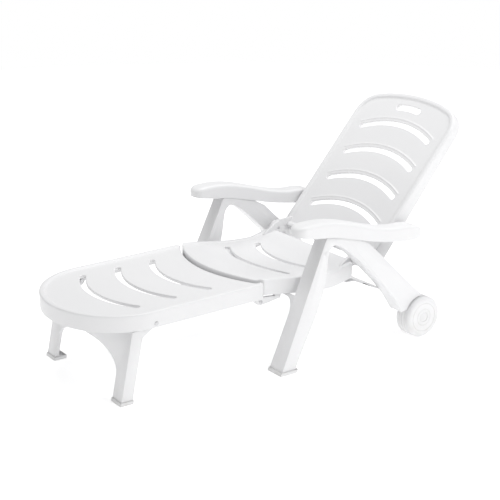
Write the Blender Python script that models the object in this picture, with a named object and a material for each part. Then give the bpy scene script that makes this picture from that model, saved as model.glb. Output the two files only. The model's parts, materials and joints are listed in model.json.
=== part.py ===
# Reclining sun lounger moulded in white polypropylene: a seat on two A-shaped side frames, a backrest
# and armrests that recline over five notches, a footrest on a folding leg, and two wheels.
# Metres. X runs from the foot to the head, Y across, Z up. Everything is laid out from the
# backrest's hinge axis, and the finished lounger is centred on the floor at the end.
import math

import bmesh
import bpy
from mathutils import Matrix, Vector

# heights and angles
HINGE_HEIGHT = 0.345
RECLINE_DEG = 49.0
FOOTREST_TILT_DEG = 1.25
FLOOR = 0.0

# across: everything is measured outwards from the half width of the seat
SEAT_HALF_WIDTH = 0.288
FOOTREST_HALF_WIDTH = SEAT_HALF_WIDTH + 0.014
LEG_HALF_WIDTH = FOOTREST_HALF_WIDTH - 0.010
ARCH_HALF_WIDTH = LEG_HALF_WIDTH - 0.065
ARM_OFFSET = SEAT_HALF_WIDTH - 0.018
EAR_INNER = SEAT_HALF_WIDTH - 0.038
BACK_HALF_WIDTH = SEAT_HALF_WIDTH + 0.009
SLOT_HALF_SPAN = SEAT_HALF_WIDTH - 0.083
FRAME_FOOT_INNER = SEAT_HALF_WIDTH + 0.034
FRAME_FOOT_OUTER = FRAME_FOOT_INNER + 0.080
ARMREST_INNER = FRAME_FOOT_INNER - 0.013
ARMREST_OUTER = ARMREST_INNER + 0.080
WHEEL_OUTER = FRAME_FOOT_OUTER + 0.003

# moulding
WALL = 0.0045
SKIRT = 0.062
DISH_DEPTH = 0.007
RIM_WIDTH = 0.024
TOUCH_GAP = 0.0003
SLOT_WIDTH = 0.024

# seat
SEAT_LENGTH = 0.545
SEAT_FRONT_BOW = 0.083
SEAT_FRONT_BOW_FOOT = SEAT_LENGTH - 0.085
SEAT_REAR_GAP = 0.012
SEAT_FRONT_RISE = 0.011
SEAT_DIP = 0.026
SEAT_DIP_POSITION = 0.145
SEAT_SLOTS = (0.355, 0.202)

# footrest
FOOTREST_LENGTH = 0.745
FOOTREST_END_LENGTH = 0.255
FOOTREST_GAP = 0.006
FOOTREST_TOP_STEP = 0.012
FOOTREST_SLOT_PITCH = 0.153
FOOTREST_FIRST_SLOT = 0.250
SLOT_BOW = 0.060

# footrest hinge, measured from the backrest hinge axis
ARM_REACH = 0.478
ARM_AXIS_DROP = 0.079
ARM_THICK = 0.016
ARM_BOSS_RADIUS = 0.014
HINGE_PIN_RADIUS = 0.005
LUG_THICK = 0.008

# footrest leg
LEG_PIVOT_REACH = 0.460
LEG_PIVOT_RISE = 0.031
LEG_LEAN = 0.208
LEG_WEB_OFFSET = 0.148
LEG_FLANGE_DEPTH = 0.046
ARCH_HEIGHT = 0.175
ARCH_CORNER = (ARCH_HALF_WIDTH - 0.037, 0.075)
ARCH_RIM_DEPTH = 0.015
CHEEK_THICK = 0.012
LEG_BOSS_RADIUS = 0.018
LEG_CHEEK_INSET = 0.010

# backrest, in its own plane: X along the back from the hinge, Z out of its face
BACK_LENGTH = 0.765
BACK_BOTTOM = 0.033
BACK_FACE = -0.038
BACK_CROWN_DROP = 0.050
BACK_CORNER_RADIUS = 0.105
BACK_DEPTH_TOP = 0.040
BACK_DEPTH_BOTTOM = 0.062
BACK_SLOT_FROM_TOP = 0.146
BACK_SLOT_PITCH = 0.135
BACK_SLOT_BOW = 0.045
HANDLE_FROM_TOP = 0.064
HANDLE_HALF_LENGTH = 0.058
HANDLE_WIDTH = 0.028
EAR_RADIUS = 0.028
EAR_THICK = 0.014
CHEEK_GAP = 0.0015
CHEEK_ROOM = 0.003

# side frames
FRAME_OUTER_SPLAY = 0.045
FRAME_INNER_SPLAY = 0.015
FRAME_WALL = 0.0045
FRONT_FOOT = 0.465
FRONT_LEAN = 0.4535
FRAME_TOP = 0.499
RIDGE = (-0.150, 0.505)
RIDGE_HALF_WIDTH = 0.007
REAR_SHOULDER = (-0.030, 0.4375)
REAR_LEG_SLOPE = -0.94
REAR_LEG_FLARE = 0.05
REAR_FLARE_TOP = 0.22
PLUG_PLACE = (-0.243, 0.437)
PLUG_RADIUS = 0.006

# ledges of the two bridges under the seat, and the seat's screws
FRONT_LEDGE = 0.312
REAR_LEDGE = 0.262
SCREW_DEPTH = 0.005

# wheels
WHEEL_RADIUS = 0.0855
WHEEL_WIDTH = 0.070
WHEEL_X = 0.247
WHEEL_CLEARANCE = 0.006
LEG_END_ROOM = 0.0121
WHEEL_WALL = 0.0045
HUB_RADIUS = 0.016
AXLE_RADIUS = 0.006
AXLE_CLEARANCE = 0.0005

# armrests
ARM_PIVOT = (0.190, 0.445)
ARMREST_WALL = 0.003
ARMREST_SIDE_ROOM = 0.001
ARMREST_NOSE = 0.372
ARMREST_TAIL = 0.048
RACK_PITCH = 0.0375
RACK_NOTCHES_FORWARD = 2
RACK_NOTCHES_BACK = 2
RACK_WIDTH = 0.022
RACK_CLEARANCE = 0.0015
TOOTH_DEPTH = 0.007

# small parts
CAP_WALL = 0.003
CAP_BASE = 0.004
CAP_HEIGHT = 0.014
CAP_FIT = 0.0004
BOLT_RADIUS = 0.004
BOLT_HEAD_RADIUS = 0.008
BOLT_HEAD_HEIGHT = 0.004
BOLT_FIT = 0.0003
SCREW_RADIUS = 0.0025
SCREW_HEAD_RADIUS = 0.005
ROUND_STEPS = 24

# worked out from the sizes above
FOOT_LIFT = CAP_BASE + TOUCH_GAP
FOOT_TOP = HINGE_HEIGHT + SEAT_FRONT_RISE - FOOTREST_TOP_STEP

HINGE = Vector((0.0, 0.0, HINGE_HEIGHT))
SEAT_FRONT_RADIUS = (SEAT_HALF_WIDTH ** 2 + SEAT_FRONT_BOW ** 2) / (2 * SEAT_FRONT_BOW)
SEAT_FRONT_CENTRE = SEAT_FRONT_RADIUS - SEAT_LENGTH
FOOT_HINGE = Vector((-ARM_REACH, 0.0, HINGE_HEIGHT - ARM_AXIS_DROP))
SIDES = (("left", 1), ("right", -1))

WHITE = (0.86, 0.86, 0.87)
LIGHT_GREY = (0.70, 0.70, 0.71)
STEEL = (0.60, 0.60, 0.62)


def clear_scene():
    for thing in list(bpy.data.objects):
        bpy.data.objects.remove(thing)


def make_material(name, colour, roughness, metallic=0.0):
    material = bpy.data.materials.new(name)
    material.use_nodes = True
    shader = material.node_tree.nodes["Principled BSDF"]
    shader.inputs["Base Color"].default_value = (*colour, 1.0)
    shader.inputs["Roughness"].default_value = roughness
    shader.inputs["Metallic"].default_value = metallic
    material.diffuse_color = (*colour, 1.0)
    return material


def make_empty(name, place, tilt_deg=0.0, parent=None):
    empty = bpy.data.objects.new(name, None)
    empty.location = place
    empty.rotation_euler = (0.0, math.radians(tilt_deg), 0.0)
    empty.parent = parent
    bpy.context.collection.objects.link(empty)
    bpy.context.view_layer.update()
    return empty


def prism(outline, axis, low, high):
    # A closed bar: a 2-D outline swept along one axis. X: (y, z), Y: (x, z), Z: (x, y).
    def place(point, depth):
        first, second = point
        return {"X": (depth, first, second), "Y": (first, depth, second), "Z": (first, second, depth)}[axis]

    shape = bmesh.new()
    bottom = [shape.verts.new(place(point, low)) for point in outline]
    top = [shape.verts.new(place(point, high)) for point in outline]
    shape.faces.new(bottom)
    shape.faces.new(top)
    for index in range(len(outline)):
        after = (index + 1) % len(outline)
        shape.faces.new((bottom[index], bottom[after], top[after], top[index]))
    bmesh.ops.recalc_face_normals(shape, faces=shape.faces)
    return new_object(shape)


def new_object(shape):
    mesh = bpy.data.meshes.new("shape")
    shape.to_mesh(mesh)
    shape.free()
    thing = bpy.data.objects.new("shape", mesh)
    bpy.context.collection.objects.link(thing)
    return thing


def disc(centre, radius, steps=ROUND_STEPS):
    return [
        (centre[0] + radius * math.cos(math.tau * (i + 0.5) / steps),
         centre[1] + radius * math.sin(math.tau * (i + 0.5) / steps))
        for i in range(steps)
    ]


def rod(x, z, radius, low, high, steps=ROUND_STEPS):
    return prism(disc((x, z), radius, steps), "Y", low, high)


def box(low, high):
    outline = ((low[0], low[1]), (high[0], low[1]), (high[0], high[1]), (low[0], high[1]))
    return prism(outline, "Z", low[2], high[2])


def apply_booleans(base, others, operation):
    for other in others:
        step = base.modifiers.new(operation.lower(), "BOOLEAN")
        step.object = other
        step.operation = operation
        step.solver = "EXACT"
    bpy.context.view_layer.update()
    finished = base.evaluated_get(bpy.context.evaluated_depsgraph_get())
    mesh = bpy.data.meshes.new_from_object(finished)
    base.modifiers.clear()
    base.data = mesh
    for other in others:
        bpy.data.objects.remove(other)
    return base


def cut(base, *others):
    return apply_booleans(base, others, "DIFFERENCE")


def join(base, *others):
    return apply_booleans(base, others, "UNION")


def common(base, other):
    return apply_booleans(base, (other,), "INTERSECT")


def move_points(thing, rule):
    for vertex in thing.data.vertices:
        vertex.co = rule(vertex.co)
    return thing


def finish(thing, name, material, parent, local=True):
    thing.name = name
    thing.data.name = name
    thing.data.materials.clear()
    thing.data.materials.append(material)
    thing.data.shade_smooth()
    thing.data.set_sharp_from_angle(angle=math.radians(30))
    thing.parent = parent
    if not local:
        origin = parent.matrix_world.inverted()
        thing.data.transform(origin)
    return thing


def fillet(corner, before, after, radius, steps=6):
    # An arc of the given radius that rounds one corner of an outline.
    corner, before, after = Vector(corner), Vector(before), Vector(after)
    to_before = (before - corner).normalized()
    to_after = (after - corner).normalized()
    half = to_before.angle(to_after) / 2
    start = corner + to_before * (radius / math.tan(half))
    centre = corner + (to_before + to_after).normalized() * (radius / math.sin(half))
    end = corner + to_after * (radius / math.tan(half))
    first, last = (start - centre).normalized(), (end - centre).normalized()
    return [tuple(centre + first.slerp(last, i / steps).normalized() * radius) for i in range(steps + 1)]


def smooth_curve(points, steps=4):
    # Catmull-Rom curve through a few points, for the swept edges of the mouldings.
    ends = [Vector(points[0]) * 2 - Vector(points[1])]
    ends += [Vector(point) for point in points]
    ends += [Vector(points[-1]) * 2 - Vector(points[-2])]
    curve = []
    for index in range(1, len(ends) - 2):
        a, b, c, d = ends[index - 1:index + 3]
        for step in range(steps):
            t = step / steps
            curve.append(tuple(0.5 * ((2 * b) + (c - a) * t + (2 * a - 5 * b + 4 * c - d) * t ** 2
                                      + (3 * b - a - 3 * c + d) * t ** 3)))
    curve.append(tuple(points[-1]))
    return curve


def bowed_slot(centre_x, bow, half_span, width, low, high, steps=10):
    # A slot across the panel whose ends lie further along +X than its middle by the bow.
    radius = (half_span ** 2 + bow ** 2) / (2 * bow)
    half_angle = math.asin(half_span / radius)
    centre = centre_x + radius

    def ring(distance, sign):
        return [
            (centre - distance * math.cos(sign * half_angle * i / steps),
             distance * math.sin(sign * half_angle * i / steps))
            for i in range(-steps, steps + 1)
        ]

    inner = ring(radius - width / 2, 1)
    outer = ring(radius + width / 2, 1)

    def round_end(angle):
        middle = Vector((centre - radius * math.cos(angle), radius * math.sin(angle)))
        start = Vector((-math.cos(angle), math.sin(angle))) * (width / 2)
        return [tuple(middle + Matrix.Rotation(-math.pi / 6 * i, 2) @ start) for i in range(1, 6)]

    far = round_end(half_angle)
    near = [(x, -y) for x, y in reversed(far)]
    return prism(outer + far + inner[::-1] + near, "Z", low, high)


def hull(points):
    # Convex outline around a set of 2-D points, anticlockwise.
    ordered = sorted(set(points))

    def half(sequence):
        chain = []
        for point in sequence:
            while len(chain) > 1 and turn_of(chain[-2], chain[-1], point) <= 0:
                chain.pop()
            chain.append(point)
        return chain[:-1]

    return half(ordered) + half(reversed(ordered))


def turn_of(a, b, c):
    return (b[0] - a[0]) * (c[1] - a[1]) - (b[1] - a[1]) * (c[0] - a[0])


def turned(profile, x, z, sign=1, steps=ROUND_STEPS):
    # A solid of revolution about a line along Y. The profile runs (radius, y), from pole to pole
    # on a solid, or round a closed section on a ring.
    shape = bmesh.new()
    rings = []
    for radius, y in profile:
        if radius < 1e-6:
            rings.append([shape.verts.new((x, sign * y, z))])
            continue
        rings.append([shape.verts.new((px, sign * y, pz)) for px, pz in disc((x, z), radius, steps)])
    pairs = list(zip(rings, rings[1:]))
    if len(rings[0]) > 1:
        pairs.append((rings[-1], rings[0]))
    for near, far in pairs:
        for i in range(steps):
            j = (i + 1) % steps
            corners = [near[i % len(near)], near[j % len(near)], far[j % len(far)], far[i % len(far)]]
            unique = []
            for corner in corners:
                if corner not in unique:
                    unique.append(corner)
            shape.faces.new(unique)
    bmesh.ops.recalc_face_normals(shape, faces=shape.faces)
    return new_object(shape)


def bolt(x, z, head_y, tip_y, radius, head_radius, head_height):
    # Domed head at head_y, shank running to tip_y; both along Y.
    along = 1 if tip_y > head_y else -1
    top = head_y - along * head_height
    profile = [
        (0.0, top),
        (head_radius * 0.6, top + along * head_height * 0.15),
        (head_radius, top + along * head_height * 0.6),
        (head_radius, head_y),
        (radius, head_y),
        (radius, tip_y - along * 0.001),
        (radius * 0.7, tip_y),
        (0.0, tip_y),
    ]
    return turned(profile, x, z)


def span(sign, inner, outer):
    return sorted((sign * inner, sign * outer))


# seat
def seat_top(x):
    # Height of the seat's rim: a shallow hollow for the sitter, level with the hinge at the rear.
    reach = -x
    if reach < SEAT_DIP_POSITION:
        share = max(0.0, reach / SEAT_DIP_POSITION)
        return HINGE_HEIGHT - SEAT_DIP * (1 - math.cos(math.pi * share)) / 2
    share = min(1.0, (reach - SEAT_DIP_POSITION) / (SEAT_LENGTH - SEAT_DIP_POSITION))
    rise = SEAT_DIP + SEAT_FRONT_RISE
    return HINGE_HEIGHT - SEAT_DIP + rise * (1 - math.cos(math.pi * share)) / 2


def seat_plan(inset):
    half_width = SEAT_HALF_WIDTH - inset
    radius = SEAT_FRONT_RADIUS - inset
    half_angle = math.asin(half_width / radius)
    front = [
        (SEAT_FRONT_CENTRE - radius * math.cos(half_angle * i / 10), radius * math.sin(half_angle * i / 10))
        for i in range(10)
    ]
    corner = (SEAT_FRONT_CENTRE - radius * math.cos(half_angle), half_width)
    rear = -SEAT_REAR_GAP - inset
    front += fillet(corner, front[-1], (rear, half_width), 0.02, 4)
    front += fillet((rear, half_width), corner, (rear, 0.0), 0.008, 3)
    return front + [(x, -y) for x, y in reversed(front[1:])]


def seat_slab(low_offset, high_offset):
    # A bar across the seat between two offsets from the rim's height.
    count = 22
    stations = [-SEAT_LENGTH - 0.01 + (SEAT_LENGTH + 0.03) * i / count for i in range(count + 1)]
    upper = [(x, seat_top(x) + high_offset) for x in stations]
    lower = [(x, seat_top(x) + low_offset) for x in reversed(stations)]
    return prism(upper + lower, "Y", -0.5, 0.5)


def seat_ear(sign):
    root = -0.075
    outline = hull(disc((0.0, HINGE_HEIGHT), EAR_RADIUS) + [
        (root, seat_top(root) - WALL),
        (root, HINGE_HEIGHT - EAR_RADIUS * 1.5),
    ])
    return prism(outline, "Y", *span(sign, EAR_INNER, EAR_INNER + EAR_THICK))


def seat_arm(sign):
    # The arm that carries the footrest: out under the seat's front edge to the footrest hinge.
    boss = disc((FOOT_HINGE.x, FOOT_HINGE.z), ARM_BOSS_RADIUS, 20)
    elbow = (-0.395, FOOT_HINGE.z - 0.030)
    reach = hull(boss + [elbow, (-0.372, FOOT_HINGE.z - 0.020), (-0.385, FOOT_HINGE.z + 0.005)])
    arm = prism(reach, "Y", *span(sign, ARM_OFFSET - ARM_THICK / 2, ARM_OFFSET + ARM_THICK / 2))
    deck = seat_top(-0.39) - DISH_DEPTH - WALL / 2
    post = ((-0.395, FOOT_HINGE.z - 0.020), (-0.370, FOOT_HINGE.z - 0.015), (-0.352, deck), (-0.420, deck))
    return join(arm, prism(post, "Y", *span(sign, ARM_OFFSET - ARM_THICK / 2, ARM_OFFSET + ARM_THICK / 2)))


def screw_places():
    # Each screw comes up through a bridge's ledge into a boss under the seat.
    for side, sign in SIDES:
        yield "front_" + side, -0.292, sign * 0.150, FRONT_LEDGE
        yield "rear_" + side, -0.040, sign * 0.150, REAR_LEDGE


def build_seat(material, root):
    low, high = HINGE_HEIGHT - 0.15, HINGE_HEIGHT + 0.15
    panel = common(prism(seat_plan(0.0), "Z", low, high), seat_slab(-SKIRT, 0.0))
    hollow = common(prism(seat_plan(WALL), "Z", low, high), seat_slab(-0.2, -DISH_DEPTH - WALL))
    dish = common(prism(seat_plan(RIM_WIDTH), "Z", low, high), seat_slab(-DISH_DEPTH, 0.1))
    cut(panel, hollow, dish)
    slots = [bowed_slot(-reach, SLOT_BOW, SLOT_HALF_SPAN, SLOT_WIDTH, low, high) for reach in SEAT_SLOTS]
    cheek_room = [
        rod(0.0, HINGE_HEIGHT, EAR_RADIUS + CHEEK_ROOM, *span(sign, EAR_INNER + EAR_THICK, SEAT_HALF_WIDTH + 0.01))
        for _, sign in SIDES
    ]
    cut(panel, *slots, *cheek_room)
    added = [seat_ear(1), seat_ear(-1), seat_arm(1), seat_arm(-1)]
    holes = [rod(0.0, HINGE_HEIGHT, HINGE_PIN_RADIUS + BOLT_FIT, -0.4, 0.4)]
    holes.append(rod(FOOT_HINGE.x, FOOT_HINGE.z, HINGE_PIN_RADIUS + BOLT_FIT, -0.4, 0.4))
    for _, x, y, ledge in screw_places():
        top = seat_top(x) - DISH_DEPTH - WALL / 2
        added.append(prism(disc((x, y), 0.009, 16), "Z", ledge + TOUCH_GAP, top))
        holes.append(prism(disc((x, y), SCREW_RADIUS + BOLT_FIT, 12), "Z", ledge - 0.01, ledge + SCREW_DEPTH))
    join(panel, *added)
    cut(panel, *holes)
    return finish(panel, "seat_panel", material, root)


# side frames
def frame_taper(point, sign):
    # The frame's two side walls lean in towards the top, the outer one more than the inner.
    x, y, z = point
    share = (abs(y) - FRAME_FOOT_INNER) / (FRAME_FOOT_OUTER - FRAME_FOOT_INNER)
    inner = FRAME_FOOT_INNER - FRAME_INNER_SPLAY * z
    outer = FRAME_FOOT_OUTER - FRAME_OUTER_SPLAY * z
    if x > RIDGE[0]:
        # The armrest comes down astride the rear leg when the back is flat.
        room = ARMREST_OUTER - ARMREST_WALL - ARMREST_SIDE_ROOM
        outer = min(outer, room + REAR_LEG_FLARE * max(0.0, REAR_FLARE_TOP - z))
    return Vector((x, sign * (inner + (outer - inner) * share), z))


def frame_inner(z):
    return FRAME_FOOT_INNER - FRAME_INNER_SPLAY * z


def front_line(z, inset=0.0):
    return -FRONT_FOOT + FRONT_LEAN * z + inset


def upper_line(x):
    return REAR_SHOULDER[1] + REAR_LEG_SLOPE * (x - REAR_SHOULDER[0])


def wheel_arc(radius, start, end, steps=12):
    return [
        (WHEEL_X + radius * math.cos(start + (end - start) * i / steps),
         WHEEL_RADIUS + radius * math.sin(start + (end - start) * i / steps))
        for i in range(steps + 1)
    ]


OPENING = (
    (-0.404, 0.0), (-0.377, 0.056), (-0.328, 0.145), (-0.285, 0.229), (-0.250, 0.321), (-0.238, 0.400),
    (-0.228, 0.443), (-0.205, 0.463), (-0.176, 0.455), (-0.121, 0.416), (-0.070, 0.370), (-0.018, 0.318),
    (0.035, 0.265), (0.090, 0.200),
)


def beside_wheel(angle_deg, room):
    # A place in the side view, a little outside the circle in which the wheel turns.
    reach = WHEEL_RADIUS + WHEEL_CLEARANCE + room
    angle = math.radians(angle_deg)
    return (WHEEL_X + reach * math.cos(angle), WHEEL_RADIUS + reach * math.sin(angle))


def upper_line_end():
    # Where the rear leg's upper edge comes near the circle in which the wheel turns.
    slant = math.hypot(1.0, REAR_LEG_SLOPE)
    above = (upper_line(WHEEL_X) - WHEEL_RADIUS) / slant
    reach = WHEEL_RADIUS + WHEEL_CLEARANCE + LEG_END_ROOM
    along = math.sqrt(reach ** 2 - above ** 2)
    return WHEEL_X - (above * REAR_LEG_SLOPE + along) / slant


def frame_opening():
    return OPENING + (beside_wheel(159.7, 0.0226),)


def frame_outline():
    opening = smooth_curve(frame_opening(), 3)
    opening[0] = (OPENING[0][0], FOOT_LIFT)
    opening = [opening[0]] + [p for p in opening if p[1] > FOOT_LIFT + 0.01]
    wheel_radius = WHEEL_RADIUS + WHEEL_CLEARANCE
    leg_end = upper_line_end()
    start = math.radians(150)
    end = math.atan2(upper_line(leg_end) - WHEEL_RADIUS, leg_end - WHEEL_X) - math.radians(4.65)
    outline = [(front_line(FOOT_LIFT), FOOT_LIFT)]
    top = (front_line(FRAME_TOP), FRAME_TOP)
    outline += fillet(top, outline[0], (RIDGE[0], FRAME_TOP - 0.002), 0.010, 4)
    outline += [(RIDGE[0] - 0.012, FRAME_TOP - 0.002), (RIDGE[0] + 0.012, FRAME_TOP - 0.004)]
    flare_start = REAR_SHOULDER[0] + (REAR_FLARE_TOP - REAR_SHOULDER[1]) / REAR_LEG_SLOPE
    outline += [REAR_SHOULDER]
    outline += [(x, upper_line(x)) for x in (0.04, 0.10, flare_start, leg_end)]
    outline += wheel_arc(wheel_radius, end, start)
    return outline + opening[::-1]


def build_frame(side, sign, material, root):
    low, high = FRAME_FOOT_INNER, FRAME_FOOT_OUTER
    frame = prism(frame_outline(), "Y", low, high)
    ridge = rod(RIDGE[0], RIDGE[1] - RIDGE_HALF_WIDTH, RIDGE_HALF_WIDTH, low, high)
    lug_centre = (WHEEL_X, WHEEL_RADIUS)
    lug = hull(disc(lug_centre, 0.030) + [(0.150, 0.235), (0.110, 0.185), (0.215, upper_line(0.215) - 0.004)])
    join(frame, ridge, prism(lug, "Y", low, low + FRAME_WALL))
    wall = FRAME_WALL
    front_pocket = (
        (front_line(-0.01, wall * 1.1), -0.01), (front_line(0.455, wall * 1.1), 0.455),
        (-0.240, 0.440), (-0.225, 0.400), (-0.225, 0.300), (-0.250, 0.220), (-0.360, -0.01),
    )
    rear_low = [(x + wall * 0.75, z + wall * 0.75) for x, z in smooth_curve(frame_opening()[9:], 3)]
    rear_pocket = rear_low[:-1] + [beside_wheel(152.0, 0.0206), beside_wheel(133.3, 0.0178), beside_wheel(107.0, 0.0178)]
    rear_pocket += [(0.245, 0.25), (-0.05, 0.55)]
    rear_pocket += [(-0.110, 0.55), (-0.110, rear_low[0][1] + 0.012)]
    top_pocket = ((-0.236, 0.55), (-0.236, 0.482), (-0.222, 0.470), (-0.185, 0.470), (-0.170, 0.482), (-0.170, 0.55))
    inside = [prism(outline, "Y", low + wall, high - wall) for outline in (front_pocket, rear_pocket, top_pocket)]
    holes = [rod(WHEEL_X, WHEEL_RADIUS, AXLE_RADIUS + BOLT_FIT, low - 0.1, high + 0.1)]
    for x, z in bridge_bolt_places():
        holes.append(rod(x, z, BOLT_RADIUS + BOLT_FIT, low - 0.1, (low + high) / 2, 16))
    holes.append(rod(*PLUG_PLACE, PLUG_RADIUS + BOLT_FIT, (low + high) / 2, high + 0.1, 16))
    cut(frame, *inside, *holes)
    move_points(frame, lambda point: frame_taper(point, sign))
    if sign < 0:
        flip_faces(frame)
    return finish(frame, f"side_frame_{side}", material, root)


def flip_faces(thing):
    shape = bmesh.new()
    shape.from_mesh(thing.data)
    bmesh.ops.reverse_faces(shape, faces=shape.faces)
    shape.to_mesh(thing.data)
    shape.free()


def build_plug(side, sign, material, root):
    x, z = PLUG_PLACE
    outer = FRAME_FOOT_OUTER - FRAME_OUTER_SPLAY * z
    profile = [
        (0.0, outer + 0.0016), (PLUG_RADIUS * 0.8, outer + 0.0014), (PLUG_RADIUS + 0.002, outer + 0.0006),
        (PLUG_RADIUS, outer + 0.0004), (PLUG_RADIUS, outer - 0.008), (0.0, outer - 0.008),
    ]
    return finish(turned(profile, x, z, sign, 16), f"frame_plug_{side}", material, root)


# bridges between the side frames
def bridge_bolt_places():
    return ((-0.322, 0.246), (0.105, 0.240))


def bridge_taper(point):
    x, y, z = point
    if abs(y) < FRAME_FOOT_INNER - 0.022:
        return point
    share = frame_inner(z) / FRAME_FOOT_INNER
    return Vector((x, y * share, z))


def build_front_bridge(material, root):
    edge = FRAME_FOOT_INNER - TOUCH_GAP
    half = [(0.0, 0.262)]
    half += [(edge - 0.05 + 0.05 * math.sin(math.pi / 2 * i / 6), 0.212 + 0.05 * math.cos(math.pi / 2 * i / 6))
             for i in range(7)]
    half += [(edge, 0.272), (SEAT_HALF_WIDTH - WALL - 0.003, 0.272), (SEAT_HALF_WIDTH - WALL - 0.003, FRONT_LEDGE)]
    outline = half + [(0.0, FRONT_LEDGE)] + [(-y, z) for y, z in reversed(half[1:])]
    web = prism(outline, "X", 0.0, WALL)
    move_points(web, lambda p: Vector((p.x + front_line(p.z), p.y, p.z)))
    x, z = bridge_bolt_places()[0]
    ledge_front = front_line(FRONT_LEDGE) + WALL / 2
    reach = SEAT_HALF_WIDTH - WALL - 0.003
    parts = [box((ledge_front, -reach, FRONT_LEDGE - WALL), (ledge_front + 0.052, reach, FRONT_LEDGE))]
    holes = []
    for _, sign in SIDES:
        low, high = span(sign, edge - 0.006, edge)
        outline = ((front_line(0.225) + 0.002, 0.225), (front_line(0.270) + 0.002, 0.270), (x + 0.022, 0.270),
                   (x + 0.012, 0.225))
        parts.append(prism(outline, "Y", low, high))
        holes.append(rod(x, z, BOLT_RADIUS + BOLT_FIT, *span(sign, edge - 0.03, edge + 0.03), 16))
    join(web, *parts)
    for name, px, py, _ in screw_places():
        if name.startswith("front"):
            holes.append(prism(disc((px, py), SCREW_RADIUS + BOLT_FIT, 12), "Z", FRONT_LEDGE - 0.03, FRONT_LEDGE + 0.01))
    cut(web, *holes)
    move_points(web, bridge_taper)
    return finish(web, "front_bridge", material, root)


def build_rear_bridge(material, root):
    edge = FRAME_FOOT_INNER - TOUCH_GAP
    x, z = bridge_bolt_places()[1]
    slope = ((0.108, 0.203), (0.028, 0.2365))
    outline = (slope[0], (slope[0][0] + 0.002, slope[0][1] + WALL), (slope[1][0], slope[1][1] + WALL), slope[1])
    web = prism(outline, "Y", -edge, edge)
    reach = SEAT_HALF_WIDTH - WALL - 0.003
    ledge = ((0.034, 0.234), (0.034, 0.234 + WALL * 1.2), (-0.020, REAR_LEDGE), (-0.058, REAR_LEDGE),
             (-0.058, REAR_LEDGE - WALL), (-0.022, REAR_LEDGE - WALL))
    parts = [prism(ledge, "Y", -reach, reach)]
    holes = []
    for _, sign in SIDES:
        low, high = span(sign, edge - 0.006, edge)
        plate = ((x - 0.022, 0.217), (x + 0.002, 0.206), (x + 0.020, 0.225), (x + 0.020, 0.262), (x - 0.020, 0.262))
        parts.append(prism(plate, "Y", low, high))
        holes.append(rod(x, z, BOLT_RADIUS + BOLT_FIT, *span(sign, edge - 0.03, edge + 0.03), 16))
    join(web, *parts)
    for name, px, py, _ in screw_places():
        if name.startswith("rear"):
            holes.append(prism(disc((px, py), SCREW_RADIUS + BOLT_FIT, 12), "Z", REAR_LEDGE - 0.03, REAR_LEDGE + 0.01))
    cut(web, *holes)
    move_points(web, bridge_taper)
    return finish(web, "rear_bridge", material, root)


def build_bridge_bolts(side, sign, material, root):
    for end, (x, z) in zip(("front", "rear"), bridge_bolt_places()):
        inner = frame_inner(z)
        head = inner - 0.0075 - TOUCH_GAP
        piece = bolt(x, z, sign * head, sign * (inner + 0.014), BOLT_RADIUS, BOLT_HEAD_RADIUS, BOLT_HEAD_HEIGHT)
        finish(piece, f"{end}_bridge_bolt_{side}", material, root)


def build_screws(material, root):
    for name, x, y, ledge in screw_places():
        under = ledge - WALL - TOUCH_GAP
        head = prism(disc((x, y), SCREW_HEAD_RADIUS, 12), "Z", under - 0.003, under)
        join(head, prism(disc((x, y), SCREW_RADIUS, 12), "Z", under - 0.001, ledge + SCREW_DEPTH - 0.001))
        finish(head, f"seat_screw_{name}", material, root)


def build_frame_cap(side, sign, material, root):
    # Shoe over the bottom of the front leg, leaning with it.
    front, rear = -FRONT_FOOT, OPENING[0][0] + 0.002
    inner, outer = FRAME_FOOT_INNER, FRAME_FOOT_OUTER
    grow = CAP_WALL + CAP_FIT
    shoe = box((front - grow, inner - grow, FLOOR), (rear + grow + 0.006, outer + grow, CAP_HEIGHT))
    pocket = box((front - CAP_FIT, inner - CAP_FIT, CAP_BASE), (rear + CAP_FIT + 0.006, outer + CAP_FIT, 0.05))
    cut(shoe, pocket)
    move_points(shoe, lambda p: Vector((p.x + FRONT_LEAN * p.z, sign * p.y, p.z)))
    if sign < 0:
        flip_faces(shoe)
    return finish(shoe, f"front_foot_{side}", material, root)


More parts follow.
